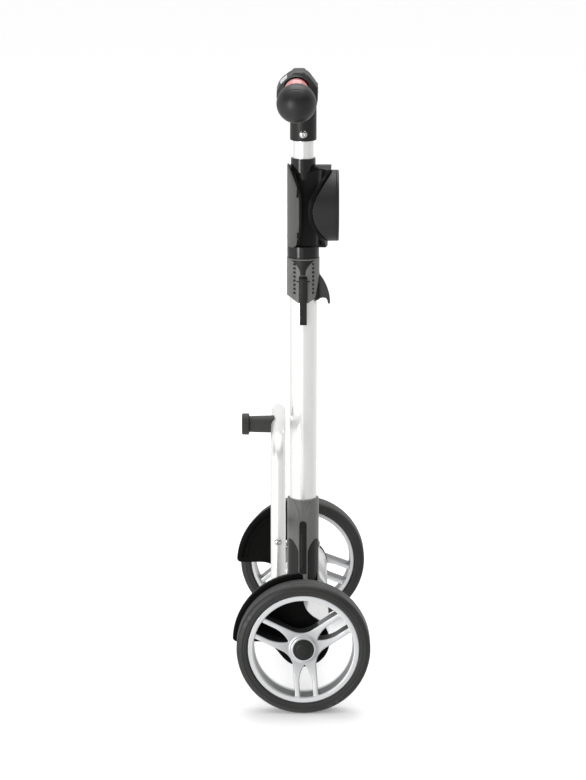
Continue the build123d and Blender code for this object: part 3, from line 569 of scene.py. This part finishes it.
prof = [(0, -232.0)] + soften([(12.0, -232.0), (12.0, -235.6), (14.2, -235.6), (14.2, -238.2), (13.0, -240.0),
                              (11.6, -240.5)], [0.3, 0.2, 0.3, 0.9, 0.9, 0.3], False, 4)
prof += [(11.0, -240.25), (10.6, -240.2)] + [(10.0 * math.cos(t), -240.3 - 1.15 * math.sin(t)) for t in
                                             np.linspace(0.05, math.pi / 2 - 0.02, 9)] + [(0, -241.45)]
cap = lathe(prof, 1, AX, False, 96)
build("near_hub_cap", cap, M_dark, "wheel_left", ["hub_cap_left"])
build("far_hub_cap", flip_y(cap), M_dark, "wheel_right", ["hub_cap_right"])

# ----------------------------------------------------------------------------
# mudguards
# ----------------------------------------------------------------------------


def guard(P):
    x, z = P[:, 0], P[:, 2] - 90.0
    y = -P[:, 1]
    rho = np.hypot(x, z)
    corner = rounded2(rounded2(x, -z, 0.01), rho - 96.0, 7.0)
    disc = rho - 35.0
    outline = smin(corner, disc, 27.0)
    outline = np.maximum(outline, rho - 96.0)
    plate = rounded2(outline, slab(y, 194.4, 199.0), 1.3)
    boss = rounded2(disc, slab(y, 189.2, 199.0), 1.6)
    lip = rounded2(np.maximum(np.maximum(x + 6.0, -z + 6.0), slab(rho, 87.5, 96.0)), slab(y, 189.0, 199.0), 3.6)
    ridge = rounded2(np.maximum(np.maximum(x + 7.0, -z + 7.0), slab(rho, 80.8, 83.6)), slab(y, 192.2, 197.0), 1.1)
    d = smin(smin(plate, boss, 2.0), smin(lip, ridge, 0.8), 1.4)
    d = smax(d, rho - 95.6, 0.3)
    return smax(d, 6.2 - rho, 0.3)


near_guard = skin(guard, (-97, -200, 54), (36, -188, 187), 0.85)
build("near_mudguard", near_guard, M_guard, "chassis", ["mudguard_left"])
build("far_mudguard", flip_y(near_guard), M_guard, "chassis", ["mudguard_right"])

# ----------------------------------------------------------------------------
# base socket
# ----------------------------------------------------------------------------


def socket(P):
    x, y, z = P[:, 0], np.abs(P[:, 1]), P[:, 2]
    rho = np.hypot(x, y)
    d = rounded2(rho - 22.0, slab(z, 90.0, 240.0), 0.9)
    hub = rounded2(np.hypot(x, z - 90.0) - 34.0, y - 24.0, 2.2)
    d = smin(d, hub, 16.0)
    ax = np.abs(x)
    # shallow scoops beside the slot, with an arched top
    arch = 167.0 + 16.0 * np.sin(np.clip((ax - 6.0) / 12.0, 0, 1) * math.pi / 2)
    scoop = rounded2(rounded2(slab(ax, 6.2, 20.2), z - arch, 3.0), 20.6 - rho, 0.6)
    scoop = np.maximum(scoop, 118.0 - z)
    d = smax(d, -scoop, 0.8)
    # funnel that opens to the rim
    half_w = 4.6 + 9.5 * np.clip((z - 208.0) / 33.0, 0, 1) ** 2.3
    funnel = rounded2(np.maximum(np.maximum(ax - half_w, 206.0 - z), z - 237.6), 20.9 - rho, 0.4)
    funnel = np.maximum(funnel, -y + 6)
    d = smax(d, -funnel, 0.9)
    # key slot with a round top
    top = np.hypot(x, np.maximum(z - 205.0, 0.0)) - 5.0
    slot_ = np.maximum(np.maximum(top, 134.0 - z), 12.0 - y)
    d = smax(d, -slot_, 0.5)
    # bores
    d = smax(d, -np.maximum(rho - 19.05, 108.0 - z), 0.3)
    d = smax(d, 16.2 - np.hypot(x, z - 90.0), 0.3)
    return d


for side, name, node in ((-1, "front", "socket_front"), (1, "rear", "socket_rear")):
    field = (lambda s: (lambda P: smax(socket(P), 0.12 - s * P[:, 0], 0.35)))(side)
    lo, hi = ((-35, -25, 55), (0.5, 25, 241)) if side < 0 else ((-0.5, -25, 55), (35, 25, 241))
    build("socket_shell_" + name, skin(field, lo, hi, 0.75), M_grey, "chassis", [node])


def scoop_inlay(P):
    x, y, z = P[:, 0], np.abs(P[:, 1]), P[:, 2]
    rho = np.hypot(x, y)
    ax = np.abs(x)
    arch = 166.4 + 16.0 * np.sin(np.clip((ax - 6.0) / 12.0, 0, 1) * math.pi / 2)
    d = rounded2(rounded2(slab(ax, 6.7, 19.7), z - arch, 3.0), slab(rho, 20.2, 21.25), 0.3)
    return np.maximum(d, 118.5 - z)


build("socket_scoop_inlays", skin(scoop_inlay, (-20, -22, 118), (20, 22, 184), 0.6), M_dark, "chassis",
      ["socket_front", "socket_rear"])


def key(P):
    x, y, z = P[:, 0], np.abs(P[:, 1]), P[:, 2]
    bar = rounded2(np.hypot(x, np.maximum(np.maximum(z - 198.4, 136.0 - z), 0.0)) - 4.6, slab(y, 19.15, 21.0), 0.7)
    rib = rounded2(np.hypot(x, np.maximum(np.maximum(z - 190.0, 144.0 - z), 0.0)) - 2.2, slab(y, 19.15, 21.7), 0.5)
    web = rounded2(np.hypot(x, np.maximum(np.maximum(z - 205.0, 139.0 - z), 0.0)) - 5.6, slab(y, 19.12, 20.05), 0.2)
    return np.minimum(smin(bar, rib, 0.8), web)


kv = skin(key, (-6, -22, 130), (6, -19, 211), 0.4)
build("socket_key_bars", [kv, flip_y(kv)], M_dark, "chassis", ["socket_keys"])

# ----------------------------------------------------------------------------
# fasteners
# ----------------------------------------------------------------------------


def to_axis(V, axis, sign, at):
    """Turns a fastener made along +Z at the origin so that it points along sign * axis."""
    V = np.asarray(V, float)
    if axis == 2:
        W = V * (1, 1, sign)
    elif axis == 1:
        W = np.stack([V[:, 0], sign * V[:, 2], V[:, 1]], 1)
    else:
        W = np.stack([sign * V[:, 2], V[:, 0], V[:, 1]], 1)
    return W + np.array(at, float)


def button_head(R, h, hexa, depth, step=0.32):
    """Domed head with a hexagon socket; its seat is at z = 0."""
    def f(P):
        rho = np.hypot(P[:, 0], P[:, 1])
        rs = (R * R + h * h) / (2 * h) * 1.15
        dome = np.sqrt(rho ** 2 + (P[:, 2] - (h - rs)) ** 2) - rs
        d = smax(smax(dome, rho - R, 0.5), -P[:, 2], 0.15)
        k = np.abs(np.stack([P[:, 0], P[:, 0] * 0.5 + P[:, 1] * 0.8660254, P[:, 0] * 0.5 - P[:, 1] * 0.8660254], 1)).max(1)
        return smax(d, -np.maximum(k - hexa, (h - depth) - P[:, 2]), 0.25)
    return skin(f, (-R, -R, 0), (R, R, h), step)


head = button_head(5.25, 2.9, 2.0, 1.8)
parts = []
for sgn in (-1, 1):
    V, Q = head
    parts.append((to_axis(V, 1, sgn, (-34.3, sgn * 115.3, 206.0)), Q))
    parts.append(lathe([(0, sgn * 78.2)] + [(2.9, sgn * 78.2), (2.9, sgn * 115.5), (0, sgn * 115.5)], 1, (-34.3, 206.0), False, 32))
build("hoop_bolt_heads", parts, M_steel, "platform", ["hoop_bolts"], crease=40)

V, Q = button_head(5.5, 2.4, 2.1, 1.7)
build("stem_screw_head", [(to_axis(V, 1, -1, (0, -17.9, 753.0)), Q),
                          lathe([(0, -12.2), (2.4, -12.2), (2.4, -18.0), (0, -18.0)], 1, (0, 753.0), False, 32)],
      M_steel, "handle", ["stem_screw"], crease=40)
V, Q = button_head(5.25, 2.6, 2.0, 1.6)
nut = skin(lambda P: smax(rounded2(np.abs(np.stack([P[:, 1], P[:, 1] * 0.5 + (P[:, 2] - 172) * 0.8660254,
                                                   P[:, 1] * 0.5 - (P[:, 2] - 172) * 0.8660254], 1)).max(1) - 4.4,
                                   slab(P[:, 0], -24.6, -21.8), 0.3),
                          np.hypot(P[:, 1], P[:, 2] - 172) - 5.05, 0.3), (-24.7, -5.2, 166.8), (-21.7, 5.2, 177.2), 0.35)
build("mast_bolt_ends", [(to_axis(V, 0, 1, (22.0, 0, 172.0)), Q), nut,
                         lathe([(0, -21.8), (2.95, -21.8), (2.95, 22.1), (0, 22.1)], 0, (0, 172.0), False, 32)],
      M_steel, "chassis", ["mast_bolt"], crease=40)

# ----------------------------------------------------------------------------
# mast
# ----------------------------------------------------------------------------
build("mast_tube", lathe(soften([(19.0, 108.2), (19.0, 576.0), (17.2, 576.0), (17.2, 108.2)], 0.5, True, 4), 2, (0, 0), True, 128),
      M_alu, "chassis", ["main_tube"])

# ----------------------------------------------------------------------------
# release collar
# ----------------------------------------------------------------------------
HOOK = soften([(18.0, 562.0), (22.6, 556.5), (28.2, 548.5), (32.8, 539.0), (35.8, 529.5), (37.1, 521.0), (37.0, 516.6),
               (35.4, 514.8), (33.9, 516.6), (33.2, 520.4), (31.4, 523.4), (27.6, 524.2), (23.0, 523.2), (18.0, 520.0)],
              [0, 4, 6, 6, 6, 3, 1.2, 1.0, 1.2, 2.5, 2.5, 4, 4, 0], True, 3)


def collar(P):
    x, y, z = P[:, 0], np.abs(P[:, 1]), P[:, 2]
    rho = np.hypot(x, y)
    ax = np.abs(x)
    low = 527.5 - 8.0 * np.clip((19.5 - ax) / 13.0, 0, 1) ** 1.1
    d = rounded2(rho - 22.5, np.maximum((low - z) * 0.85, z - 581.0), 0.9)
    # recess that narrows from the rim to the tab's channel
    half_w = 3.8 + 15.5 * np.clip((z - 560.5) / 20.5, 0, 1) ** 2.2
    funnel = rounded2(np.maximum(np.maximum(ax - half_w, 553.0 - z), z - 579.2), 20.9 - rho, 0.4)
    d = smax(d, -np.maximum(funnel, 5.0 - y), 0.8)
    chan = np.maximum(np.maximum(ax - 5.5, z - 557.2), 12.0 - y)
    d = smax(d, -chan, 0.6)
    # two columns of grip slots
    zz = (z - 531.0) % 5.7 - 2.85
    arc = np.arctan2(x, y) * 22.5
    pit = rounded2(np.abs(np.abs(arc - 1.2) - 14.1) - 2.1, np.abs(zz) - 1.55, 0.7)
    pit = np.maximum(pit, np.maximum(z - 576.0, 531.5 - z))
    d = smax(d, -np.maximum(pit, 20.3 - rho), 0.35)
    return smax(d, 19.06 - rho, 0.3)


for side, name, node in ((-1, "front", "collar_front"), (1, "rear", "collar_rear")):
    field = (lambda s: (lambda P: smax(collar(P), 0.12 - s * P[:, 0], 0.35)))(side)
    lo, hi = ((-23, -23, 517), (0.5, 23, 582)) if side < 0 else ((-0.5, -23, 513), (38, 23, 582))
    build("collar_shell_" + name, skin(field, lo, hi, 0.6), M_grey, "chassis", [node])


def collar_funnel(P):
    """Dark lining of the recess above each tab."""
    x, y, z = P[:, 0], np.abs(P[:, 1]), P[:, 2]
    rho, ax = np.hypot(x, y), np.abs(x)
    half_w = 3.2 + 15.5 * np.clip((z - 560.5) / 20.5, 0, 1) ** 2.2
    d = rounded2(np.maximum(np.maximum(ax - half_w, 558.6 - z), z - 578.6), slab(rho, 20.3, 21.35), 0.25)
    back = rounded2(np.maximum(ax - 6.2, slab(z, 546.0, 559.5)), slab(rho, 19.15, 20.0), 0.2)
    return np.maximum(np.minimum(d, back), 8.0 - y)


build("collar_recess_linings", skin(collar_funnel, (-20, -22, 545), (20, 22, 580), 0.45), M_dark, "chassis",
      ["collar_front", "collar_rear"])


# painted shade: a dark sheet just under the grip slots, so that the slots read dark as if in deep shade
def grip_slot_shade_sheet(P):
    x, y, z = P[:, 0], P[:, 1], P[:, 2]
    rho = np.hypot(x, y)
    return rounded2(np.maximum(6.6 - np.abs(x), slab(z, 530.3, 577.2)), slab(rho, 19.3, 20.55), 0.2)


build("collar_slot_shade_sheets", skin(grip_slot_shade_sheet, (-21, -21, 530), (21, 21, 578), 0.5), M_dark, "chassis",
      ["collar_front", "collar_rear"])
def hook_root(P):
    """Thin root of the hook, wrapped round the collar's corner and widening downwards."""
    x, y, z = P[:, 0], P[:, 1], P[:, 2]
    rho = np.hypot(x, y)
    edge = 22.6 - 7.4 * np.clip((562.0 - z) / 40.0, 0, 1) ** 1.2
    d = rounded2(edge - x, slab(rho, 21.2, 22.75), 0.5)
    return smax(d, slab(z, 522.0, 562.0), 0.6)


build("hook_root", skin(hook_root, (13.5, -18.5, 519), (24.5, 18.5, 565), 0.5), M_dark, "chassis", ["collar_rear"])
build("collar_hook", skin(lambda P: np.maximum(rounded2(polygon(P[:, 0], P[:, 2], HOOK), np.abs(P[:, 1]) - 5.2, 1.5),
                                              20.4 - np.hypot(P[:, 0], P[:, 1])), (18, -5.5, 513), (38, 5.5, 563), 0.5),
      M_hub, "chassis", ["collar_rear"])


def tab(P):
    x, y, z = P[:, 0], -P[:, 1], P[:, 2]
    body = rounded2(rounded2(np.abs(x) - 5.0, slab(z, 489.5, 554.5), 1.2), slab(y, 22.6, 25.4), 0.8)
    lens = np.sqrt((x / 4.2) ** 2 + ((z - 540.0) / 15.0) ** 2 + ((y - 25.2) / 1.1) ** 2) - 1
    d = smin(body, lens * 1.0, 1.2)
    # a step line across the lower end
    d = smax(d, -rounded2(slab(z, 492.2, 493.0), 24.9 - y, 0.2), 0.3)
    eye = rounded2(np.hypot(y - 20.9, z - 550.0) - 1.75, np.abs(x) - 4.9, 0.2)
    web = block(np.stack([x, y, z], 1), (-4.9, 21.0, 548.4), (4.9, 23.2, 551.6), 0.3)
    return np.minimum(smin(d, web, 0.8), eye)


tv = skin(tab, (-5.1, -26.4, 489), (5.1, -19, 555), 0.45)
build("near_squeeze_tab", tv, M_dark, "tab_left", ["release_tab_left"])
build("far_squeeze_tab", flip_y(tv), M_dark, "tab_right", ["release_tab_right"])

# ----------------------------------------------------------------------------
# head: body with its saddle, front shield, rear panel, drum and dial
# ----------------------------------------------------------------------------
SHIELD = [(0, 710.0), (8, 709.0), (17, 704.5), (24.7, 698.0), (33.2, 686.0), (37.4, 674.0), (38.5, 664.0), (38.5, 633.0),
          (37.4, 622.0), (35.5, 612.0), (33.0, 602.5), (27.0, 598.5), (0, 597.0)]
PANEL = [(0, 708.3), (9, 707.4), (22.5, 701.0), (33.5, 692.0), (41.5, 681.5), (46.4, 667.5), (47.6, 655.0), (46.4, 642.0),
         (40.6, 625.0), (31.8, 611.0), (20.0, 602.5), (10.0, 599.0), (0, 598.0)]


def mirror_outline(pts):
    return pts + [(-x, z) for x, z in pts[-2:0:-1]]


SHIELD_O, PANEL_O = mirror_outline(SHIELD), mirror_outline(PANEL)


def shield_shell(P, grow=0.0):
    x, y, z = P[:, 0], P[:, 1], P[:, 2]
    r = np.hypot(x - 38.0, y)
    out = polygon(y, z, SHIELD_O)
    return r, out


def shield(P):
    r, out = shield_shell(P)
    y, z = np.abs(P[:, 1]), P[:, 2]
    d = rounded2(out, slab(r, 57.5, 60.0), 0.9)
    d = np.maximum(d, P[:, 0] - 8.0)
    # two small notches in each side edge and a shallow border line
    for zc, hz, y0 in ((675.0, 5.6, 34.2), (617.0, 4.4, 34.6)):
        d = smax(d, -rounded2(rounded2(y0 - y, np.abs(z - zc) - hz, 0.8), 50.0 - r, 0.3), 0.4)
    d = smax(d, -rounded2(np.abs(out + 3.4) - 0.4, 59.55 - r, 0.15), 0.3)
    for yy in (-9.0, 9.0):
        for zc in (613.0, 688.0):
            hole = np.hypot(P[:, 1] - yy, P[:, 2] - zc) - 2.9
            d = smax(d, -np.maximum(hole, 58.4 - r), 0.3)
    return d


def panel_field(P):
    x, y, z = P[:, 0], P[:, 1], P[:, 2]
    tilt = (z - 652.5) * 0.045
    r = np.hypot(x - tilt + 24.0, y)
    return r, polygon(y, z, PANEL_O)


def saddle(P):
    """Glossy body: waist, and the flanges that carry both panels."""
    x, y, z = P[:, 0], P[:, 1], P[:, 2]
    rho = np.hypot(x, y)
    r, out = shield_shell(P)
    rp, outp = panel_field(P)
    waist = 16.6 - 1.6 * np.exp(-((z - 652.0) / 30.0) ** 2)
    core = rounded2(np.abs(y) - waist, np.maximum(r - 57.0, rp - 59.6), 1.0)
    front = np.maximum(rounded2(out + 1.3, slab(r, 53.8, 57.2), 0.7), x - 2.0)
    rear = np.maximum(rounded2(outp, slab(rp, 56.4, 60.0), 0.9), -x - 2.0)
    d = smin(smin(core, front, 12.0), rear, 14.0)
    # the top is rounded over and dips between the two panels
    side_t = np.where(x < 0, np.clip(-x / 20.0, 0, 1), np.clip(x / 20.0, 0, 1)) ** 2
    crest = 708.4 - (9.5 - 6.5 * side_t) * np.clip(np.abs(y) / 17.0, 0, 1) ** 2.2
    d = smax(d, (z - crest) * 0.85, 1.6)
    d = smax(d, 597.0 - z, 0.8)
    d = smax(d, np.maximum(r - 57.3, rp - 60.1), 0.5)
    return smax(d, 14.1 - rho, 0.4)


body_mesh = skin(saddle, (-23, -50, 580.5), (41, 50, 719.5), 0.8)
build("head_saddle", body_mesh, M_saddle, "chassis", ["head_body", "rear_panel"])
build("head_collars", [
    lathe([(14.85, 598.5), (14.85, 704.0), (14.15, 704.0), (14.15, 598.5)], 2, (0, 0), True, 128),
    lathe(soften([(22.0, 581.7), (22.0, 597.6), (14.1, 597.6), (14.1, 581.7)], [0.9, 0.5, 0.2, 0.5], True, 5), 2, (0, 0), True, 128),
    lathe(soften([(17.0, 690.0), (17.0, 718.6), (14.1, 718.6), (14.1, 690.0)], [0.2, 1.3, 0.5, 0.2], True, 5), 2, (0, 0), True, 128)],
    M_gloss, "chassis", ["head_body"])
build("front_shield_skin", skin(shield, (-23, -40, 596), (9, 40, 711), 0.75), M_shield, "chassis", ["front_shield"])
V, Q = button_head(2.55, 1.2, 1.1, 0.8, 0.22)
parts = []
for yy in (-9.0, 9.0):
    for zc in (613.0, 688.0):
        xs = 38.0 - math.sqrt(60.0 ** 2 - yy * yy)
        parts.append((to_axis(V, 0, -1, (xs + 1.4, yy, zc)), Q))
build("shield_screw_heads", parts, M_steel, "chassis", ["head_screws"])


def drum(P):
    x, y, z = P[:, 0], P[:, 1], P[:, 2] - 652.4
    rho = np.hypot(y, z)
    wall = rounded2(slab(rho, 45.6, 48.7), slab(x, 6.0, 44.95), 0.25)
    tilt = z * 0.045
    d = smax(wall, 60.7 - np.hypot(x - tilt + 24.0, y), 0.3)
    return d


build("drum_wall", skin(drum, (5, -49, 603), (45, 49, 702), 0.8), M_drum, "chassis", ["drum_housing"])


def dial(P):
    x, y, z = P[:, 0], P[:, 1], P[:, 2] - 652.4
    rho = np.hypot(y, z)
    d = np.minimum(rounded2(rho - 48.7, slab(x, 45.05, 48.7), 1.7), rounded2(rho - 48.7, slab(x, 45.05, 47.2), 0.25))
    d = smin(d, rounded2(rho - 44.0, slab(x, 38.0, 46.0), 0.6), 0.5)
    # recessed face with a raised grip bar across it
    bar = np.abs(y) - (7.0 + 2.2 * np.clip((np.abs(z)) / 36.0, 0, 1) ** 2)
    bowl = rounded2(rho - 37.0, 40.8 + 0.004 * rho ** 2 - x, 3.0)
    bowl = smax(bowl, -bar, 3.0)
    d = smax(d, -bowl, 1.0)
    # rim line
    d = smax(d, -rounded2(np.abs(rho - 42.5) - 0.5, 48.2 - x, 0.15), 0.25)
    return d


build("twist_dial", skin(dial, (37.5, -49, 603), (49, 49, 702), 0.8), M_drum, "dial", ["clamp_dial"])

# ----------------------------------------------------------------------------
# sliding tube, stem, hub, rings, grips
# ----------------------------------------------------------------------------
build("sliding_tube", lathe(soften([(14.0, 330.2), (14.0, 799.8), (12.5, 799.8), (12.5, 330.2)], 0.4, True, 3), 2, (0, 0), True, 112),
      M_alu, "handle", ["inner_tube"])
build("handle_stem_sleeve", lathe(soften([(18.1, 743.0), (18.1, 796.0), (14.1, 796.0), (14.1, 743.0)],
                                         [1.6, 0.4, 0.3, 0.6], True, 5), 2, (0, 0), True, 112),
      M_dark, "handle", ["handle_stem"])

HUB = soften([(-18.2, 793.0), (-26.0, 796.0), (-33.5, 799.5), (-36.5, 804.0), (-36.1, 811.0), (-31.8, 821.0), (-21.5, 829.8),
              (-12.5, 838.4), (1.8, 838.4), (9.0, 831.8), (16.8, 821.6), (17.4, 820.0), (20.1, 817.4), (19.6, 801.0), (18.2, 793.0)],
             [1, 5, 3, 2.5, 4, 5, 4, 3.5, 3, 5, 1.0, 0.8, 1.5, 3, 1], True, 4)
SN = np.array([-9.5, 10.5]) / math.hypot(9.5, 10.5)     # outward normal of the front slope, in X and Z
ST = np.array([SN[1], -SN[0]])
TILT = math.radians(20.8)
NECK = np.array([-9.4, -24.0, 814.5])                   # where the near neck leaves the hub
ALONG = np.array([0.0, -math.cos(TILT), -math.sin(TILT)])


def neck_coords(P):
    """Distance along the near neck's axis, and from it."""
    q = P - NECK
    s_ = q @ ALONG
    rr = np.linalg.norm(q - s_[:, None] * ALONG, axis=1)
    return s_, rr


def tilt(data):
    """Moves a mesh made along +Z from the origin onto the near neck's axis."""
    V, F = data
    V = np.asarray(V, float)
    ex = np.array([1.0, 0, 0])
    ey = np.cross(ALONG, ex)
    return NECK + V[:, 2:3] * ALONG + V[:, 0:1] * ex + V[:, 1:2] * ey, F


def hub(P):
    x, y, z = P[:, 0], np.abs(P[:, 1]), P[:, 2]
    out = polygon(x, z, HUB)
    # the sides are drawn in towards the necks
    d = rounded2(out, y - 24.0, 2.4)
    Pn = np.stack([x, -y, z], 1)
    s_, rr = neck_coords(Pn)
    bead = rounded2(rr - 19.3, slab(s_, -8.0, 1.6), 1.2)
    d = smin(d, bead, 2.5)
    d = smax(d, -rounded2(rr - 17.1, -6.5 - s_, 0.3), 0.4)
    n = (x + 26.25) * SN[0] + (z - 825.75) * SN[1]
    t = (x + 26.25) * ST[0] + (z - 825.75) * ST[1]
    seat = rounded2(rounded2(np.abs(t) - 6.2, y - 17.6, 2.5), -1.5 - n, 0.2)
    d = smax(d, -seat, 0.4)
    # edge of the rear cover
    q = (x - 9.0) * 0.80 + (z - 831.8) * 0.60
    d = smax(d, -np.maximum(np.abs(q + 1.6) - 0.35, -(out + 0.7)), 0.3)
    return smax(d, -np.maximum(np.hypot(x, y) - 14.1, z - 800.0), 0.3)


build("handle_hub_shell", skin(hub, (-37, -27, 792), (21, 27, 839), 0.6), M_hub, "handle", ["handle_hub"])


def insert(P):
    x, y, z = P[:, 0], np.abs(P[:, 1]), P[:, 2]
    n = (x + 26.25) * SN[0] + (z - 825.75) * SN[1]
    t = (x + 26.25) * ST[0] + (z - 825.75) * ST[1]
    return rounded2(rounded2(np.abs(t) - 6.0, y - 17.4, 2.4), slab(n, -1.5, 1.3 - 0.0016 * y * y), 0.6)


build("hub_pale_insert", skin(insert, (-34, -18, 816), (-18, 18, 836), 0.5), M_insert, "handle", ["hub_insert"])

neck_p = soften([(6.1, -6.4), (16.9, -6.4), (17.0, 2.0), (16.6, 4.6), (15.9, 8.0), (15.45, 11.5), (15.4, 14.6), (6.1, 14.6)],
                [0.2, 0.4, 2, 3, 5, 3, 0.2, 0.2], True, 4)
nk = tilt(lathe(neck_p, 2, (0, 0), True, 112))
build("near_red_neck", nk, M_red, "handle", ["ring_left"])
build("far_red_neck", flip_y(nk), M_red, "handle", ["ring_right"])
b0 = math.acos((36.4 - 14.8) / 27.0)
ball_p = [(0, 14.7), (15.3, 14.7), (15.75, 14.75), (15.95, 14.95)]
ball_p += [(27.0 * math.sin(a), 36.4 - 27.0 * math.cos(a)) for a in np.linspace(b0 + 0.02, math.pi / 2 + 0.30, 40)]
r1, z1 = ball_p[-1]
ball_p += [(r1 - 0.22, z1 + 0.1), (r1 - 0.34, z1 + 0.5)]
ball_p += [(27.0 * math.sin(a), 36.4 - 27.0 * math.cos(a)) for a in np.linspace(math.pi / 2 + 0.34, math.pi, 36)][:-1]
ball_p += [(0, 63.4)]
gr = tilt(lathe(ball_p, 2, (0, 0), False, 128))
build("near_ball_grip", gr, M_rubber, "handle", ["grip_left"])
build("far_ball_grip", flip_y(gr), M_rubber, "handle", ["grip_right"])

# ----------------------------------------------------------------------------
# folding platform
# ----------------------------------------------------------------------------
path = [(-34.3, -105.0, z) for z in np.linspace(86.0, 314.3, 40)]
path += [(-34.3, -105.0 + 30 - 30 * math.cos(a), 314.3 + 30 * math.sin(a)) for a in np.linspace(0, math.pi / 2, 17)[1:]]
path += [(-34.3, y, 344.3) for y in np.linspace(-75.0, 75.0, 16)[1:-1]]
path += [(-34.3, -y, z) for _, y, z in path[:57][::-1]]
build("platform_hoop_tube", sweep(path, 10.0, 48, 2.0), M_hoop, "platform", ["platform_hoop"], crease=50)
sl = lathe(soften([(35.0, -187.5), (35.0, -26.0), (32.9, -26.0), (32.9, -187.5)], 0.6, True, 4), 1, AX, True, 144)
build("near_pivot_sleeve", sl, M_alu_y, "platform", ["pivot_sleeve_left"])
build("far_pivot_sleeve", flip_y(sl), M_alu_y, "platform", ["pivot_sleeve_right"])
bar = lathe(soften([(0, -94.5), (6.0, -94.5), (6.0, 94.5), (0, 94.5)], [0, 0.8, 0.8, 0], False, 4), 1, (-34.3, 206.0), False, 48)
build("hoop_cross_bar", bar, M_steel, "platform", ["cross_bar"])


def foot(P):
    x, y, z = P[:, 0], P[:, 1], P[:, 2] - 344.3
    rho = np.hypot(y, z)
    R = 12.25 - 1.0 * np.clip((-34.0 - x) / 40.0, 0, 1)
    d = rounded2(rho - R, slab(x, -74.6, -39.8), 0.8)
    d = smax(d, -rounded2(np.abs(x + 71.6) - 0.5, R - 0.5 - rho, 0.2), 0.3)
    return smax(d, 10.05 - np.hypot(x + 34.3, z), 0.3)


build("foot_stub", skin(foot, (-75.5, -14, 330), (-37, 14, 358), 0.6), M_hub, "platform", ["foot_body"])
pad_p = [(0, -74.5)] + soften([(14.85, -74.5), (14.85, -84.9), (0, -84.9)], [1.0, 1.6, 0], False, 5)
pad_p = [(0, -74.5)] + soften([(13.0, -74.5), (14.85, -75.6), (14.85, -83.6), (13.4, -84.9), (9.0, -84.9), (8.6, -84.3), (7.4, -84.3),
                               (7.0, -84.9), (3.0, -84.9)], 0.5, False, 3) + [(0, -84.9)]
build("foot_rubber_pad", lathe(pad_p, 0, (0, 344.3), False, 80), M_foot, "platform", ["foot_pad"])

# ----------------------------------------------------------------------------
# floor, light, camera
# ----------------------------------------------------------------------------
me = bpy.data.meshes.new("floor")
me.from_pydata([(-9, -9, 0), (9, -9, 0), (9, 9, 0), (-9, 9, 0)], [], [(0, 1, 2, 3)])
floor = bpy.data.objects.new("floor", me)
bpy.context.scene.collection.objects.link(floor)
fm = bpy.data.materials.new("floor_paper")
fm.use_nodes = True
fb = fm.node_tree.nodes["Principled BSDF"]
fb.inputs["Base Color"].default_value = (0.93, 0.93, 0.93, 1)
fb.inputs["Roughness"].default_value = 0.7
fb.inputs["Specular IOR Level"].default_value = 0.2
fb.inputs["Emission Color"].default_value = (1, 1, 1, 1)
fb.inputs["Emission Strength"].default_value = 0.20
me.materials.append(fm)
floor.visible_glossy = False

world = bpy.data.worlds.new("studio")
bpy.context.scene.world = world
world.use_nodes = True
wt = world.node_tree
wt.nodes.clear()
wo = wt.nodes.new("ShaderNodeOutputWorld")
bg = wt.nodes.new("ShaderNodeBackground")
wt.links.new(bg.outputs[0], wo.inputs[0])
bg.inputs["Color"].default_value = (1, 1, 1, 1)
tc = wt.nodes.new("ShaderNodeTexCoord")
sep = wt.nodes.new("ShaderNodeSeparateXYZ")
wt.links.new(tc.outputs["Generated"], sep.inputs[0])


def ranged(src, lo, hi, a=0.0, b=1.0):
    n = wt.nodes.new("ShaderNodeMapRange")
    n.inputs["From Min"].default_value = lo
    n.inputs["From Max"].default_value = hi
    n.inputs["To Min"].default_value = a
    n.inputs["To Max"].default_value = b
    wt.links.new(src, n.inputs["Value"])
    return n.outputs[0]


def blend(factor, a, b):
    n = wt.nodes.new("ShaderNodeMix")
    wt.links.new(factor, n.inputs["Factor"])
    for value, name in ((a, "A"), (b, "B")):
        if isinstance(value, float):
            n.inputs[name].default_value = value
        else:
            wt.links.new(value, n.inputs[name])
    return n.outputs["Result"]


# towards the viewer the studio is bright on the left, grey on the right and dim above; behind it is white
front = blend(ranged(sep.outputs["X"], -0.01, 0.01), 1.22, 0.62)
front = blend(ranged(sep.outputs["Z"], 0.10, 0.30), front, 0.22)
level = blend(ranged(sep.outputs["Y"], -0.05, 0.35), front, 0.82)
level = blend(ranged(sep.outputs["Z"], 0.60, 0.80), level, 1.15)
# the paper backdrop itself is plain white from every side
path_ = wt.nodes.new("ShaderNodeLightPath")
level = blend(path_.outputs["Is Camera Ray"], level, 1.0)
wt.links.new(level, bg.inputs["Strength"])


def area(name, loc, target, size, power, size_y=None):
    li = bpy.data.lights.new(name, "AREA")
    li.energy = power
    li.size = size
    if size_y:
        li.shape = "RECTANGLE"
        li.size_y = size_y
    ob = bpy.data.objects.new(name, li)
    ob.location = loc
    ob.rotation_euler = (Vector(target) - Vector(loc)).to_track_quat("-Z", "Y").to_euler()
    bpy.context.scene.collection.objects.link(ob)
    return ob


area("strip_left", (-2.05, -2.9, 0.55), (0, 0, 0.45), 0.85, 62, 2.6)
area("top_soft", (0.1, 0.95, 3.0), (0, 0, 0.2), 2.2, 40)

cam = bpy.data.cameras.new("camera")
cam.lens = 3610.0 * 36.0 / 780.0
cam.sensor_width = 36.0
cam.clip_end = 200
co = bpy.data.objects.new("camera", cam)
co.location = (-0.014, -4.870, 1.526)
co.rotation_euler = (math.radians(90.0 - 13.1), 0, 0)
bpy.context.scene.collection.objects.link(co)
bpy.context.scene.camera = co
bpy.context.scene.view_settings.view_transform = "Standard"
